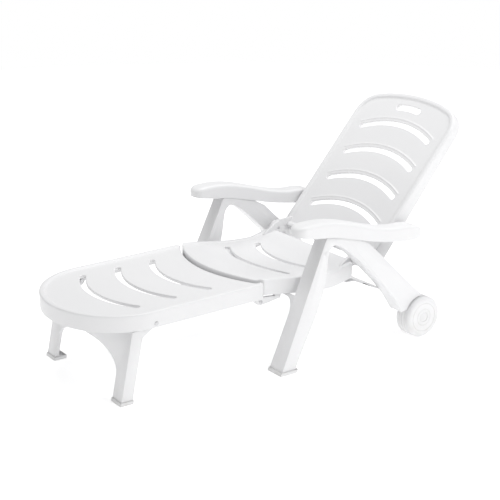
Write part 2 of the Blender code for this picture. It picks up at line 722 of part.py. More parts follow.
# wheels
def build_wheel(side, sign, material, cap_material, steel, root):
    inner, outer = WHEEL_OUTER - WHEEL_WIDTH, WHEEL_OUTER
    hub = make_empty(f"wheel_axis_{side}", (WHEEL_X, sign * WHEEL_OUTER, WHEEL_RADIUS), 0.0, root)
    bore = AXLE_RADIUS + AXLE_CLEARANCE
    recess = 0.020
    shoulder = 0.014
    rim = [
        (WHEEL_RADIUS - shoulder + shoulder * math.sin(math.pi / 2 * i / 4),
         outer - shoulder + shoulder * math.cos(math.pi / 2 * i / 4)) for i in range(5)
    ]
    profile = [(bore, outer - 0.008), (recess, outer - 0.008), (recess, outer)] + rim
    profile += [(WHEEL_RADIUS, inner + 0.002), (WHEEL_RADIUS - 0.002, inner), (WHEEL_RADIUS - WHEEL_WALL, inner)]
    profile += [(WHEEL_RADIUS - WHEEL_WALL, outer - shoulder), (WHEEL_RADIUS - shoulder, outer - WHEEL_WALL)]
    profile += [(recess + WHEEL_WALL, outer - WHEEL_WALL), (recess + WHEEL_WALL, outer - 0.008 - WHEEL_WALL)]
    profile += [(HUB_RADIUS, outer - 0.008 - WHEEL_WALL), (HUB_RADIUS, inner - 0.006), (bore, inner - 0.006)]
    wheel = turned(profile, WHEEL_X, WHEEL_RADIUS, sign, 36)
    finish(wheel, f"wheel_{side}", material, hub, local=False)
    cap_profile = [(0.0, outer + 0.0012), (0.008, outer + 0.0008), (recess - 0.003, outer - 0.0004),
                   (recess - TOUCH_GAP, outer - 0.0014), (recess - TOUCH_GAP, outer - 0.0028), (0.0, outer - 0.0028)]
    finish(turned(cap_profile, WHEEL_X, WHEEL_RADIUS, sign), f"hub_cap_{side}", cap_material, hub, local=False)
    wall_inner = frame_inner(WHEEL_RADIUS)
    head = outer - 0.008 + TOUCH_GAP
    axle = bolt(WHEEL_X, WHEEL_RADIUS, sign * head, sign * (wall_inner - 0.012), AXLE_RADIUS, 0.011, 0.0042)
    finish(axle, f"axle_{side}", steel, root)
    nut = [(AXLE_RADIUS + BOLT_FIT, wall_inner - 0.0015), (0.011, wall_inner - 0.0015), (0.011, wall_inner - 0.006),
           (0.009, wall_inner - 0.0075), (AXLE_RADIUS + BOLT_FIT, wall_inner - 0.0075)]
    finish(turned(nut, WHEEL_X, WHEEL_RADIUS, sign), f"axle_nut_{side}", steel, root)


# footrest
def footrest_plan(inset):
    half_width = FOOTREST_HALF_WIDTH - inset
    end_length = FOOTREST_END_LENGTH - inset
    rear_radius = SEAT_FRONT_RADIUS + FOOTREST_GAP + inset
    tip = -SEAT_FRONT_BOW_FOOT - FOOTREST_LENGTH
    start = tip + FOOTREST_END_LENGTH
    outline = [
        (start - end_length * math.cos(math.pi / 2 * i / 14), half_width * math.sin(math.pi / 2 * i / 14))
        for i in range(15)
    ]
    half_angle = math.asin(half_width / rear_radius)
    corner = (SEAT_FRONT_CENTRE - rear_radius * math.cos(half_angle), half_width)
    rear = [
        (SEAT_FRONT_CENTRE - rear_radius * math.cos(half_angle * i / 10),
         rear_radius * math.sin(half_angle * i / 10)) for i in range(9, -1, -1)
    ]
    outline += fillet(corner, outline[-1], rear[0], 0.012, 3) + rear
    return outline + [(x, -y) for x, y in reversed(outline[1:-1])]


def build_footrest(material, pin_material, pivot):
    top = FOOT_TOP
    panel = prism(footrest_plan(0.0), "Z", top - SKIRT, top)
    hollow = prism(footrest_plan(WALL), "Z", top - SKIRT - 0.1, top - DISH_DEPTH - WALL)
    dish = prism(footrest_plan(RIM_WIDTH), "Z", top - DISH_DEPTH, top + 0.1)
    slots = []
    tip = -SEAT_FRONT_BOW_FOOT - FOOTREST_LENGTH
    for i in range(3):
        middle = tip + FOOTREST_FIRST_SLOT - 0.065 + FOOTREST_SLOT_PITCH * i
        slots.append(bowed_slot(middle, SLOT_BOW, SLOT_HALF_SPAN, SLOT_WIDTH, top - 0.2, top + 0.1))
    cut(panel, hollow, dish, *slots)
    added = []
    axis = (FOOT_HINGE.x, FOOT_HINGE.z)
    deck = top - DISH_DEPTH - WALL / 2
    for _, sign in SIDES:
        for inner in (ARM_OFFSET - ARM_THICK / 2 - CHEEK_GAP - LUG_THICK, ARM_OFFSET + ARM_THICK / 2 + CHEEK_GAP):
            edge = -math.sqrt((SEAT_FRONT_RADIUS + FOOTREST_GAP) ** 2 - (inner + LUG_THICK) ** 2) + SEAT_FRONT_CENTRE
            lug = prism(disc(axis, ARM_BOSS_RADIUS - 0.001, 20), "Y", *span(sign, inner, inner + LUG_THICK))
            neck = ((axis[0] - 0.045, deck), (axis[0] - 0.012, axis[1] - 0.006), (axis[0] - 0.004, axis[1] + 0.008),
                    (edge - 0.010, top - SKIRT + 0.003), (edge - 0.010, deck))
            added.append(lug)
            added.append(prism(hull(neck), "Y", *span(sign, inner, inner + LUG_THICK)))
    join(panel, *added)
    holes = [rod(*axis, HINGE_PIN_RADIUS + BOLT_FIT, -0.4, 0.4)]
    holes.append(rod(*leg_axis_flat(), HINGE_PIN_RADIUS + BOLT_FIT, -0.4, 0.4))
    cut(panel, *holes)
    finish(panel, "footrest_panel", material, pivot, local=False)
    for side, sign in SIDES:
        outer = ARM_OFFSET + ARM_THICK / 2 + CHEEK_GAP + LUG_THICK
        inner = ARM_OFFSET - ARM_THICK / 2 - CHEEK_GAP - LUG_THICK
        pin = bolt(*axis, sign * (outer + TOUCH_GAP), sign * (inner - 0.004), HINGE_PIN_RADIUS, 0.0075, 0.003)
        finish(pin, f"footrest_hinge_pin_{side}", pin_material, pivot, local=False)
        head, tip = sign * (FOOTREST_HALF_WIDTH + TOUCH_GAP), sign * (LEG_HALF_WIDTH - 0.028)
        leg_pin = bolt(*leg_axis_flat(), head, tip, HINGE_PIN_RADIUS, 0.008, 0.002)
        finish(leg_pin, f"footrest_leg_pin_{side}", pin_material, pivot, local=False)


def leg_axis_flat():
    # The leg's pivot before the footrest is tilted.
    return (FOOT_HINGE.x - LEG_PIVOT_REACH, FOOT_HINGE.z + LEG_PIVOT_RISE)


def leg_axis():
    turn = Matrix.Rotation(math.radians(-FOOTREST_TILT_DEG), 3, "Y")
    x, z = leg_axis_flat()
    return FOOT_HINGE + turn @ (Vector((x, 0.0, z)) - FOOT_HINGE)


def leg_web_top():
    # Just under the footrest's skirt, which the top edge of the leg stops against.
    web_x = leg_axis().x - LEG_WEB_OFFSET + LEG_LEAN * 0.27
    fall = (FOOT_HINGE.x - web_x) * math.sin(math.radians(FOOTREST_TILT_DEG))
    return FOOT_TOP - SKIRT - fall - 0.0015


def build_footrest_leg(material, cap_material, pivot):
    axis = leg_axis()
    foot_x = axis.x - LEG_WEB_OFFSET
    web_top = leg_web_top()
    base = CAP_BASE + TOUCH_GAP
    arch = [(ARCH_HALF_WIDTH, 0.0), (ARCH_HALF_WIDTH - 0.002, ARCH_HEIGHT - ARCH_CORNER[1])]
    flat = ARCH_HALF_WIDTH - 0.002 - ARCH_CORNER[0]
    arch += [(flat + ARCH_CORNER[0] * math.cos(math.pi / 2 * i / 8),
              ARCH_HEIGHT - ARCH_CORNER[1] + ARCH_CORNER[1] * math.sin(math.pi / 2 * i / 8)) for i in range(1, 9)]
    arch[0] = (ARCH_HALF_WIDTH, base)

    def arched(depth_low, depth_high, inset):
        inner = [(y + inset, z + (inset if z > base else 0.0)) for y, z in arch]
        half = [(LEG_HALF_WIDTH, web_top), (LEG_HALF_WIDTH, base)] + inner
        outline = half + [(-y, z) for y, z in reversed(half)]
        return prism(outline, "X", depth_low, depth_high)

    leg = arched(0.0, LEG_FLANGE_DEPTH, 0.0)
    behind_web = arched(WALL, LEG_FLANGE_DEPTH + 0.01, WALL)
    outer_trim = []
    for _, sign in SIDES:
        outer_trim.append(box((-0.01, min(sign * (LEG_HALF_WIDTH - WALL), sign * 0.5), base - 0.01),
                              (LEG_FLANGE_DEPTH + 0.02, max(sign * (LEG_HALF_WIDTH - WALL), sign * 0.5), web_top + 0.1)))
    cut(behind_web, *outer_trim)
    rim_trim = arched(ARCH_RIM_DEPTH, LEG_FLANGE_DEPTH + 0.01, -0.05)
    side_keep = [box((-0.1, min(sign * (LEG_HALF_WIDTH - WALL), sign * 0.5), -0.1),
                     (0.2, max(sign * (LEG_HALF_WIDTH - WALL), sign * 0.5), 0.6)) for _, sign in SIDES]
    cut(rim_trim, *side_keep)
    cut(leg, behind_web, rim_trim)
    move_points(leg, lambda p: Vector((p.x + foot_x + LEG_LEAN * p.z, p.y, p.z)))
    added, holes = [], []
    for _, sign in SIDES:
        cheek_outer = LEG_HALF_WIDTH - LEG_CHEEK_INSET
        top_x = foot_x + LEG_LEAN * web_top
        cheek = hull(disc((axis.x, axis.z), LEG_BOSS_RADIUS) + [
            (top_x + 0.003, web_top), (foot_x + LEG_LEAN * (web_top - 0.07) + 0.003, web_top - 0.07)])
        added.append(prism(cheek, "Y", *span(sign, cheek_outer - CHEEK_THICK, cheek_outer)))
        holes.append(rod(axis.x, axis.z, HINGE_PIN_RADIUS + BOLT_FIT, *span(sign, 0.2, 0.4)))
    join(leg, *added)
    cut(leg, *holes)
    finish(leg, "footrest_leg", material, pivot, local=False)
    grow = CAP_WALL + CAP_FIT
    for side, sign in SIDES:
        low, high = span(sign, ARCH_HALF_WIDTH - grow, LEG_HALF_WIDTH + grow)
        shoe = box((foot_x - grow, low, FLOOR), (foot_x + LEG_FLANGE_DEPTH + grow, high, CAP_HEIGHT))
        low, high = span(sign, ARCH_HALF_WIDTH - CAP_FIT - 0.001, LEG_HALF_WIDTH + CAP_FIT)
        pocket = box((foot_x - CAP_FIT, low, CAP_BASE), (foot_x + LEG_FLANGE_DEPTH + CAP_FIT, high, 0.05))
        cut(shoe, pocket)
        move_points(shoe, lambda p: Vector((p.x + LEG_LEAN * p.z, p.y, p.z)))
        finish(shoe, f"leg_foot_{side}", cap_material, pivot, local=False)


# backrest, drawn flat with the hinge at the origin, then stood up by its pivot
def back_plan(inset):
    half_width = BACK_HALF_WIDTH - inset
    top = BACK_LENGTH - inset
    crown_radius = (half_width ** 2 + BACK_CROWN_DROP ** 2) / (2 * BACK_CROWN_DROP)
    crown = [
        (top - crown_radius * (1 - math.cos(math.asin(y / crown_radius))), y)
        for y in (half_width * i / 8 for i in range(6))
    ]
    corner = (top - BACK_CROWN_DROP, half_width)
    bottom = BACK_BOTTOM + inset
    outline = [(bottom, 0.0)] + fillet((bottom, half_width), (bottom, 0.0), corner, 0.012, 3)
    outline += fillet(corner, (bottom, half_width), crown[-1], BACK_CORNER_RADIUS - inset, 8)
    outline += crown[::-1]
    return outline + [(x, -y) for x, y in reversed(outline[1:-1])]


def build_backrest(material, pin_material, pivot):
    deep = BACK_FACE - BACK_DEPTH_BOTTOM
    panel = prism(back_plan(0.0), "Z", deep, BACK_FACE)
    hollow = prism(back_plan(WALL), "Z", deep - 0.1, BACK_FACE - DISH_DEPTH - WALL)
    dish = prism(back_plan(RIM_WIDTH), "Z", BACK_FACE - DISH_DEPTH, BACK_FACE + 0.1)
    wedge = ((BACK_BOTTOM - 0.01, deep - 0.1), (BACK_LENGTH + 0.05, deep - 0.1),
             (BACK_LENGTH + 0.05, BACK_FACE - BACK_DEPTH_TOP), (BACK_BOTTOM - 0.01, deep - 0.0005))
    slots = []
    for i in range(4):
        middle = BACK_LENGTH - BACK_SLOT_FROM_TOP - BACK_SLOT_PITCH * i
        slots.append(bowed_slot(middle, -BACK_SLOT_BOW, SLOT_HALF_SPAN, SLOT_WIDTH, deep - 0.1, BACK_FACE + 0.1))
    slots.append(bowed_slot(BACK_LENGTH - HANDLE_FROM_TOP, -0.005, HANDLE_HALF_LENGTH, HANDLE_WIDTH,
                            deep - 0.1, BACK_FACE + 0.1, 5))
    cut(panel, hollow, dish, prism(wedge, "Y", -0.5, 0.5), *slots)
    added = []
    arm_axis = back_frame(ARM_PIVOT)
    for _, sign in SIDES:
        inner = EAR_INNER + EAR_THICK + CHEEK_GAP
        outline = hull(disc((0.0, 0.0), EAR_RADIUS) + [(0.085, BACK_FACE - DISH_DEPTH - WALL / 2), (0.050, deep * 0.85)])
        added.append(prism(outline, "Y", *span(sign, inner, inner + CHEEK_THICK)))
        boss = disc(arm_axis, 0.014, 20)
        added.append(prism(boss, "Y", *span(sign, BACK_HALF_WIDTH - 0.020, BACK_HALF_WIDTH - WALL / 2)))
    join(panel, *added)
    holes = [rod(0.0, 0.0, HINGE_PIN_RADIUS + BOLT_FIT, -0.4, 0.4)]
    holes.append(rod(*arm_axis, HINGE_PIN_RADIUS + BOLT_FIT, -0.4, 0.4))
    cut(panel, *holes)
    return finish(panel, "backrest_panel", material, pivot)


def back_frame(point):
    # A side-view place, in metres from the floor, seen in the backrest's own plane.
    turn = Matrix.Rotation(math.radians(RECLINE_DEG), 3, "Y")
    local = turn @ (Vector((point[0], 0.0, point[1])) - HINGE)
    return (local.x, local.z)


# armrests
ARMREST_TOP = (
    (-0.330, 0.5575), (-0.280, 0.560), (-0.200, 0.553), (-0.117, 0.533), (-0.020, 0.505),
    (0.080, 0.483), (0.140, 0.478), (0.185, 0.476),
)
ARMREST_BOTTOM = (
    (0.160, 0.4215), (0.071, 0.431), (-0.013, 0.447), (-0.108, 0.472), (-0.201, 0.4945), (-0.294, 0.506),
    (-0.350, 0.516),
)


def armrest_outline(inset):
    tail = [
        (ARM_PIVOT[0] + (ARMREST_TAIL - inset) * math.sin(math.pi * i / 8) * 0.98,
         ARM_PIVOT[1] + 0.002 + (0.029 - inset) * math.cos(math.pi * i / 8)) for i in range(1, 8)
    ]
    nose = [(-ARMREST_NOSE + 0.006 + inset, 0.521), (-ARMREST_NOSE + inset, 0.532), (-ARMREST_NOSE + 0.004 + inset, 0.546)]
    top = [(x, z - inset) for x, z in smooth_curve(ARMREST_TOP, 3)]
    bottom = [(x, z + inset) for x, z in smooth_curve(ARMREST_BOTTOM, 3)]
    return top + tail + bottom + nose


def armrest_plan(inset):
    inner, outer = ARMREST_INNER + inset, ARMREST_OUTER - inset
    nose = -ARMREST_NOSE + inset
    tail = ARM_PIVOT[0] + ARMREST_TAIL - inset
    outline = fillet((nose, inner), (tail, inner), (nose, outer), 0.030 - inset, 5)
    outline += fillet((nose, outer), (nose, inner), (tail, outer), 0.036 - inset, 5)
    outline += fillet((tail, outer), (nose, outer), (tail, inner), 0.014, 3)
    outline += fillet((tail, inner), (tail, outer), (nose, inner), 0.014, 3)
    return outline


def rack_outline():
    # A toothed rib whose tips run along the line from the armrest's pivot over the frame's ridge.
    pivot = Vector(ARM_PIVOT)
    ridge = Vector((RIDGE[0], RIDGE[1] - RIDGE_HALF_WIDTH))
    along = (ridge - pivot).normalized()
    normal = Vector((-along.y, along.x))
    if normal.y < 0:
        normal = -normal
    reach = (ridge - pivot).length
    tip = RIDGE_HALF_WIDTH + RACK_CLEARANCE
    half = RIDGE_HALF_WIDTH + 0.0025
    outline = []
    for notch in range(-RACK_NOTCHES_BACK, RACK_NOTCHES_FORWARD + 1):
        middle = reach + notch * RACK_PITCH
        for offset, height in ((-half, tip), (-half * 0.55, tip + TOOTH_DEPTH), (half * 0.55, tip + TOOTH_DEPTH), (half, tip)):
            outline.append(tuple(pivot + along * (middle + offset) + normal * height))
    ends = (reach - RACK_NOTCHES_BACK * RACK_PITCH - 0.022, reach + RACK_NOTCHES_FORWARD * RACK_PITCH + 0.022)
    outline.insert(0, tuple(pivot + along * ends[0] + normal * tip))
    outline.append(tuple(pivot + along * ends[1] + normal * tip))
    roof = [(x, z - ARMREST_WALL / 2) for x, z in smooth_curve(ARMREST_TOP, 3) if outline[-1][0] < x < outline[0][0]]
    return outline + [(outline[-1][0], roof[0][1])] + roof + [(outline[0][0], roof[-1][1])]


def build_armrest(side, sign, material, pin_material, back_pivot, arm_pivot):
    shape = common(prism(armrest_outline(0.0), "Y", ARMREST_INNER, ARMREST_OUTER),
                   prism(armrest_plan(0.0), "Z", 0.3, 0.7))
    wall = ARMREST_WALL
    hollow_side = [(x, z - wall) for x, z in smooth_curve(ARMREST_TOP, 3)]
    hollow_side += [(0.185, 0.40), (0.185, 0.30), (-0.5, 0.30), (-0.5, 0.54), (-0.360, 0.548)]
    hollow = common(prism(hollow_side, "Y", ARMREST_INNER, ARMREST_OUTER), prism(armrest_plan(wall), "Z", 0.2, 0.7))
    cut(hollow, box((ARM_PIVOT[0] - 0.030, 0.2, 0.2), (0.5, 0.5, 0.7)))
    cut(shape, hollow)
    middle = (ARMREST_INNER + ARMREST_OUTER) / 2
    join(shape, prism(rack_outline(), "Y", middle - RACK_WIDTH / 2, middle + RACK_WIDTH / 2))
    relief = prism(disc(ARM_PIVOT, 0.019), "Y", ARMREST_INNER + 0.014, ARMREST_OUTER - 0.004)
    slot_down = box((ARM_PIVOT[0] - 0.012, ARMREST_INNER + 0.014, 0.3), (ARM_PIVOT[0] + 0.012, ARMREST_OUTER - 0.004, ARM_PIVOT[1]))
    bore = rod(*ARM_PIVOT, HINGE_PIN_RADIUS + BOLT_FIT, ARMREST_INNER - 0.05, ARMREST_INNER + 0.02)
    cut(shape, relief, slot_down, bore)
    if sign < 0:
        move_points(shape, lambda p: Vector((p.x, -p.y, p.z)))
        flip_faces(shape)
    finish(shape, f"armrest_{side}", material, arm_pivot, local=False)
    x, z = back_frame(ARM_PIVOT)
    pin = bolt(x, z, sign * (ARMREST_INNER + 0.014 + TOUCH_GAP), sign * (BACK_HALF_WIDTH - 0.024),
               HINGE_PIN_RADIUS, 0.009, 0.003)
    finish(pin, f"armrest_pin_{side}", pin_material, back_pivot)


def build_back_pins(side, sign, material, root):
    outer = EAR_INNER + EAR_THICK + CHEEK_GAP + CHEEK_THICK
    pin = bolt(HINGE.x, HINGE.z, sign * (outer + TOUCH_GAP), sign * (EAR_INNER - 0.004), HINGE_PIN_RADIUS, 0.010, 0.003)
    finish(pin, f"recline_pin_{side}", material, root)


def centre_on_floor(root):
    # The origin is under the middle of the whole lounger, on the floor.
    bpy.context.view_layer.update()
    corners = [
        thing.matrix_world @ vertex.co
        for thing in bpy.data.objects if thing.type == "MESH" for vertex in thing.data.vertices
    ]
    lowest, highest = (min(c.x for c in corners), max(c.x for c in corners))
    root.location.x = -(lowest + highest) / 2
    bpy.context.view_layer.update()


def main():
    clear_scene()
    white = make_material("white plastic", WHITE, 0.42)
    grey = make_material("foot plastic", LIGHT_GREY, 0.5)
    steel = make_material("plated steel", STEEL, 0.35, 1.0)
    root = make_empty("lounger", (0.0, 0.0, 0.0))
    recline = make_empty("recline_axis", HINGE, -RECLINE_DEG, root)
    footrest = make_empty("footrest_axis", FOOT_HINGE, 0.0, root)
    leg = make_empty("leg_axis", leg_axis(), 0.0, root)
    bpy.context.view_layer.update()
    build_seat(white, root)
    build_front_bridge(white, root)
    build_rear_bridge(white, root)
    build_screws(steel, root)
    for side, sign in SIDES:
        build_frame(side, sign, white, root)
        build_plug(side, sign, white, root)
        build_bridge_bolts(side, sign, steel, root)
        build_frame_cap(side, sign, grey, root)
        build_wheel(side, sign, white, white, steel, root)
        build_back_pins(side, sign, steel, root)
        arm_axis = make_empty(f"armrest_axis_{side}", (ARM_PIVOT[0], 0.0, ARM_PIVOT[1]), 0.0, root)
        bpy.context.view_layer.update()
        build_armrest(side, sign, white, steel, recline, arm_axis)
    build_backrest(white, steel, recline)
    build_footrest(white, steel, footrest)
    footrest.rotation_euler.y = math.radians(-FOOTREST_TILT_DEG)
    build_footrest_leg(white, grey, leg)
    centre_on_floor(root)


main()
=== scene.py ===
import json
import math

import bmesh
import bpy
import numpy as np
from mathutils import Matrix, Vector, geometry, kdtree


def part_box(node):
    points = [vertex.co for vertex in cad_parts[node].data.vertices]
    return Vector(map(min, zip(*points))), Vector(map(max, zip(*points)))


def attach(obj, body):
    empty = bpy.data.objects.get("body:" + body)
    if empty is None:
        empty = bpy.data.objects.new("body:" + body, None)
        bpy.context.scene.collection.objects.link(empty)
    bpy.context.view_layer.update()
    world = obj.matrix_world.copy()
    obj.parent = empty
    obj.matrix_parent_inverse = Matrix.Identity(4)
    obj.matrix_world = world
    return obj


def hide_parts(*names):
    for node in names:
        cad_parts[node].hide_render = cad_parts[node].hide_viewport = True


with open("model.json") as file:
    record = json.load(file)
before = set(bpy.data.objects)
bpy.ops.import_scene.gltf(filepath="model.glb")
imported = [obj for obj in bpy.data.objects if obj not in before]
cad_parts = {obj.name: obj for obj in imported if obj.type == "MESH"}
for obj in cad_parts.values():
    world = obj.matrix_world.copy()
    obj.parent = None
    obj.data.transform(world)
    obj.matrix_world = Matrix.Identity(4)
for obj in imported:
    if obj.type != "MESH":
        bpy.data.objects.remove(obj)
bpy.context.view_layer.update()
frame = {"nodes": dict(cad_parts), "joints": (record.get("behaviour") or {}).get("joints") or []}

# the finished look of a reclining lounger with a folding footrest, in metres, foot end towards -X
joints = {joint["name"]: joint for joint in frame["joints"]}
hinge = Vector(joints["backrest_recline"]["pos_m"])
footAxis = Vector(joints["footrest_fold"]["pos_m"])
armAxis = Vector(joints["armrest_left_pivot"]["pos_m"])
sides = (("left", 1), ("right", -1))
print("frame loaded, backrest hinge at", tuple(round(c, 4) for c in hinge))


class Wire:
    # one shader socket; sums written with it become Math nodes
    def __init__(self, finish, socket):
        self.finish = finish
        self.socket = socket

    def maths(self, operation, first, second):
        return self.finish.value("ShaderNodeMath", {"operation": operation}, {0: first, 1: second})

    def __add__(self, other):
        return self.maths("ADD", self, other)

    def __radd__(self, other):
        return self.maths("ADD", other, self)

    def __sub__(self, other):
        return self.maths("SUBTRACT", self, other)

    def __rsub__(self, other):
        return self.maths("SUBTRACT", other, self)

    def __mul__(self, other):
        return self.maths("MULTIPLY", self, other)

    def __rmul__(self, other):
        return self.maths("MULTIPLY", other, self)


class Finish:
    # a material and its shader
    def __init__(self, name):
        self.material = bpy.data.materials.new(name)
        self.material.use_nodes = True
        self.tree = self.material.node_tree
        self.shader = self.tree.nodes["Principled BSDF"]
        self.place = self.value("ShaderNodeTexCoord", {}, {}, "Object")

    def node(self, kind, settings, sockets):
        made = self.tree.nodes.new(kind)
        for name, setting in settings.items():
            setattr(made, name, setting)
        for name, given in sockets.items():
            self.plug(made.inputs[name], given)
        return made

    def plug(self, socket, given):
        if isinstance(given, Wire):
            self.tree.links.new(given.socket, socket)
        else:
            socket.default_value = given

    def value(self, kind, settings, sockets, output=0):
        return Wire(self, self.node(kind, settings, sockets).outputs[output])

    def noise(self, scale, detail=3.0, roughness=0.5, stretch=(1.0, 1.0, 1.0)):
        at = self.value("ShaderNodeMapping", {}, {"Vector": self.place, "Scale": stretch})
        return self.value("ShaderNodeTexNoise", {}, {
            "Vector": at, "Scale": scale, "Detail": detail, "Roughness": roughness})

    def band(self, given, low, high, start=0.0, end=1.0):
        return self.value("ShaderNodeMapRange", {"clamp": True}, {
            "Value": given, "From Min": low, "From Max": high, "To Min": start, "To Max": end})

    def mix(self, mask, first, second):
        return self.value("ShaderNodeMix", {"data_type": "RGBA"}, {0: mask, 6: first, 7: second}, 2)

    def attribute(self, name):
        return self.value("ShaderNodeAttribute", {"attribute_name": name}, {}, "Fac")

    def height(self):
        return self.value("ShaderNodeSeparateXYZ", {}, {0: self.place}, "Z")

    def bump(self, strength, distance, given):
        normal = self.value("ShaderNodeBump", {}, {
            "Strength": strength, "Distance": distance, "Height": given})
        self.plug(self.shader.inputs["Normal"], normal)

    def surface(self, **sockets):
        names = {"colour": "Base Color", "roughness": "Roughness", "metallic": "Metallic",
                 "specular": "Specular IOR Level", "ior": "IOR", "glow": "Emission Color",
                 "glowStrength": "Emission Strength"}
        for name, given in sockets.items():
            self.plug(self.shader.inputs[names[name]], given)


def grey(level, tint=0.0):
    return (level, level, level + tint, 1.0)


def mouldedPlastic(name, look):
    # injection-moulded resin: fine spark-eroded grain, faint flow marks, edges painted with a highlight and
    # made a little smoother, painted shade with dust in the hollows, darker patches towards the bottom
    finish = Finish(name)
    flow = finish.noise(look["flowScale"], 4.0, 0.6, look["flowStretch"])
    mottle = finish.noise(look["mottleScale"], 3.0)
    stands = finish.attribute("curvature")
    edge = finish.band(stands, *look["edgeRange"])
    hollow = finish.band(stands, *look["hollowRange"])
    # painted shade in the hollows, broken into patches by noise, with dust that also roughens them
    dustAndShade = hollow * finish.band(finish.noise(look["dustAndShadeScale"], 4.0, 0.65), 0.35, 0.7) * look["dustAndShadeStrength"]
    # darker in patches towards the bottom
    lowerDarkening = finish.band(finish.height(), look["lowerDarkeningHeight"], 0.0) * finish.band(mottle, 0.42, 0.66)
    scuffs = finish.band(finish.noise(look["scuffScale"], 6.0, 0.7, look["scuffStretch"]), 0.60, 0.72)
    colour = finish.mix(finish.band(flow, 0.3, 0.7), look["base"], look["second"])
    # one dark tone paints the shade in the hollows and the darker patches low down
    colour = finish.mix(dustAndShade + lowerDarkening * look["lowerDarkening"], colour, look["darkTone"])
    # painted highlight: the ridges are drawn lighter, and they are also a little smoother
    colour = finish.mix(edge * look["edgeShare"], colour, look["edgeHighlight"])
    uneven = (mottle - 0.5) * 0.10 + scuffs * 0.08
    roughness = look["roughness"] + uneven + dustAndShade * 0.25 - edge * 0.10
    grain = finish.noise(look["grain"], 2.0, 0.6)
    finish.surface(colour=colour, roughness=roughness, specular=0.5, ior=1.49)
    finish.bump(look["bump"], look["grainDepth"], grain + scuffs * 0.35 + flow * 0.6)
    return finish.material


def zincSteel(name, look):
    # zinc plate: brushed along the pins and bolts, with dull spots
    finish = Finish(name)
    brushed = finish.noise(look["brushScale"], 4.0, 0.6, (1.0, 0.12, 1.0))
    spots = finish.band(finish.noise(look["spotScale"], 5.0, 0.7), 0.62, 0.74)
    colour = finish.mix(finish.band(brushed, 0.3, 0.7), look["base"], look["second"])
    colour = finish.mix(spots * look["tarnish"], colour, look["darkTone"])
    roughness = 0.28 + brushed * 0.16 + spots * 0.25
    finish.surface(colour=colour, metallic=1.0 - spots * 0.35, roughness=roughness)
    finish.bump(0.25, 0.0003, brushed + spots * 0.5)
    return finish.material


# the dark tone paints shade in the hollows with dust and darkens patches towards the bottom; the edge colour
# is a painted highlight on ridges
resin = {
    "base": grey(0.80, 0.006), "second": grey(0.765, 0.010), "darkTone": (0.55, 0.53, 0.49, 1.0),
    "edgeHighlight": grey(0.87), "roughness": 0.36,
    "grain": 820.0, "grainDepth": 0.0006, "bump": 0.22,
    "flowScale": 2.4, "flowStretch": (1.0, 0.35, 1.0), "mottleScale": 38.0,
    "scuffScale": 70.0, "scuffStretch": (1.0, 6.0, 0.5),
    "dustAndShadeStrength": 0.35, "dustAndShadeScale": 24.0, "lowerDarkening": 0.12, "lowerDarkeningHeight": 0.10,
    "edgeRange": (0.06, 0.30), "hollowRange": (-0.05, -0.26), "edgeShare": 0.5,
}
frameResin = {**resin, "base": grey(0.79, 0.006), "roughness": 0.33, "bump": 0.18}
wheelResin = {**resin, "base": grey(0.77, 0.008), "lowerDarkening": 0.30, "lowerDarkeningHeight": 0.14, "roughness": 0.40}
shoeResin = {**resin, "base": grey(0.76, 0.004), "second": grey(0.73), "lowerDarkening": 0.25,
             "lowerDarkeningHeight": 0.03, "roughness": 0.52, "grain": 500.0}
zinc = {"base": grey(0.62, 0.012), "second": grey(0.52, 0.01), "darkTone": (0.35, 0.33, 0.30, 1.0),
        "tarnish": 0.5, "brushScale": 160.0, "spotScale": 95.0}
panelPlastic = mouldedPlastic("panel resin", resin)
framePlastic = mouldedPlastic("frame resin", frameResin)
wheelPlastic = mouldedPlastic("wheel resin", wheelResin)
shoePlastic = mouldedPlastic("shoe resin", shoeResin)
steel = zincSteel("zinc plate", zinc)
print("materials ready")


def meshObject(name, shape):
    mesh = bpy.data.meshes.new(name)
    shape.to_mesh(mesh)
    shape.free()
    made = bpy.data.objects.new(name, mesh)
    bpy.context.scene.collection.objects.link(made)
    return made


def settle(piece):
    # the evaluated result becomes the piece's plain mesh
    bpy.context.view_layer.update()
    graph = bpy.context.evaluated_depsgraph_get()
    mesh = bpy.data.meshes.new_from_object(piece.evaluated_get(graph), depsgraph=graph)
    piece.modifiers.clear()
    old = piece.data
    piece.data = mesh
    bpy.data.meshes.remove(old)
    mesh.name = piece.name
    return piece


def markEdges(piece):
    # how far each point stands out of its neighbours: 1 on a sharp ridge, -1 in a groove
    mesh = piece.data
    count = len(mesh.vertices)
    places = np.zeros(count * 3)
    mesh.vertices.foreach_get("co", places)
    places = places.reshape(-1, 3)
    normals = np.array([normal.vector for normal in mesh.vertex_normals])
    ends = np.zeros(len(mesh.edges) * 2, int)
    mesh.edges.foreach_get("vertices", ends)
    ends = ends.reshape(-1, 2)
    span = places[ends[:, 0]] - places[ends[:, 1]]
    length = np.maximum(np.linalg.norm(span, axis=1), 1e-9)
    unit = span / length[:, None]
    total, weight = np.zeros(count), np.zeros(count)
    for column, sign in ((0, 1.0), (1, -1.0)):
        at = ends[:, column]
        np.add.at(total, at, sign * np.einsum("ij,ij->i", unit, normals[at]) / length)
        np.add.at(weight, at, 1.0 / length)
    # this curvature is drawn as a painted highlight on ridges and painted shade in hollows
    curving = mesh.attributes.new("curvature", "FLOAT", "POINT")
    curving.data.foreach_set("value", (total / np.maximum(weight, 1e-9)).astype(np.float32))


narrowFace = 0.000012  # square metres; a rounded edge's faces are smaller than this


def calmFaces(piece):
    # on a piece of long flat faces, the curvature that paints highlight on ridges and shade in hollows
    # belongs only to the narrow faces along its edges
    mesh = piece.data
    curving = np.zeros(len(mesh.vertices))
    mesh.attributes["curvature"].data.foreach_get("value", curving)
    levels = []
    for face in mesh.polygons:
        narrow = face.area < narrowFace
        levels.append(float(curving[list(face.vertices)].mean()) if narrow else 0.0)
    mesh.attributes.remove(mesh.attributes["curvature"])
    mesh.attributes.new("curvature", "FLOAT", "FACE").data.foreach_set("value", levels)


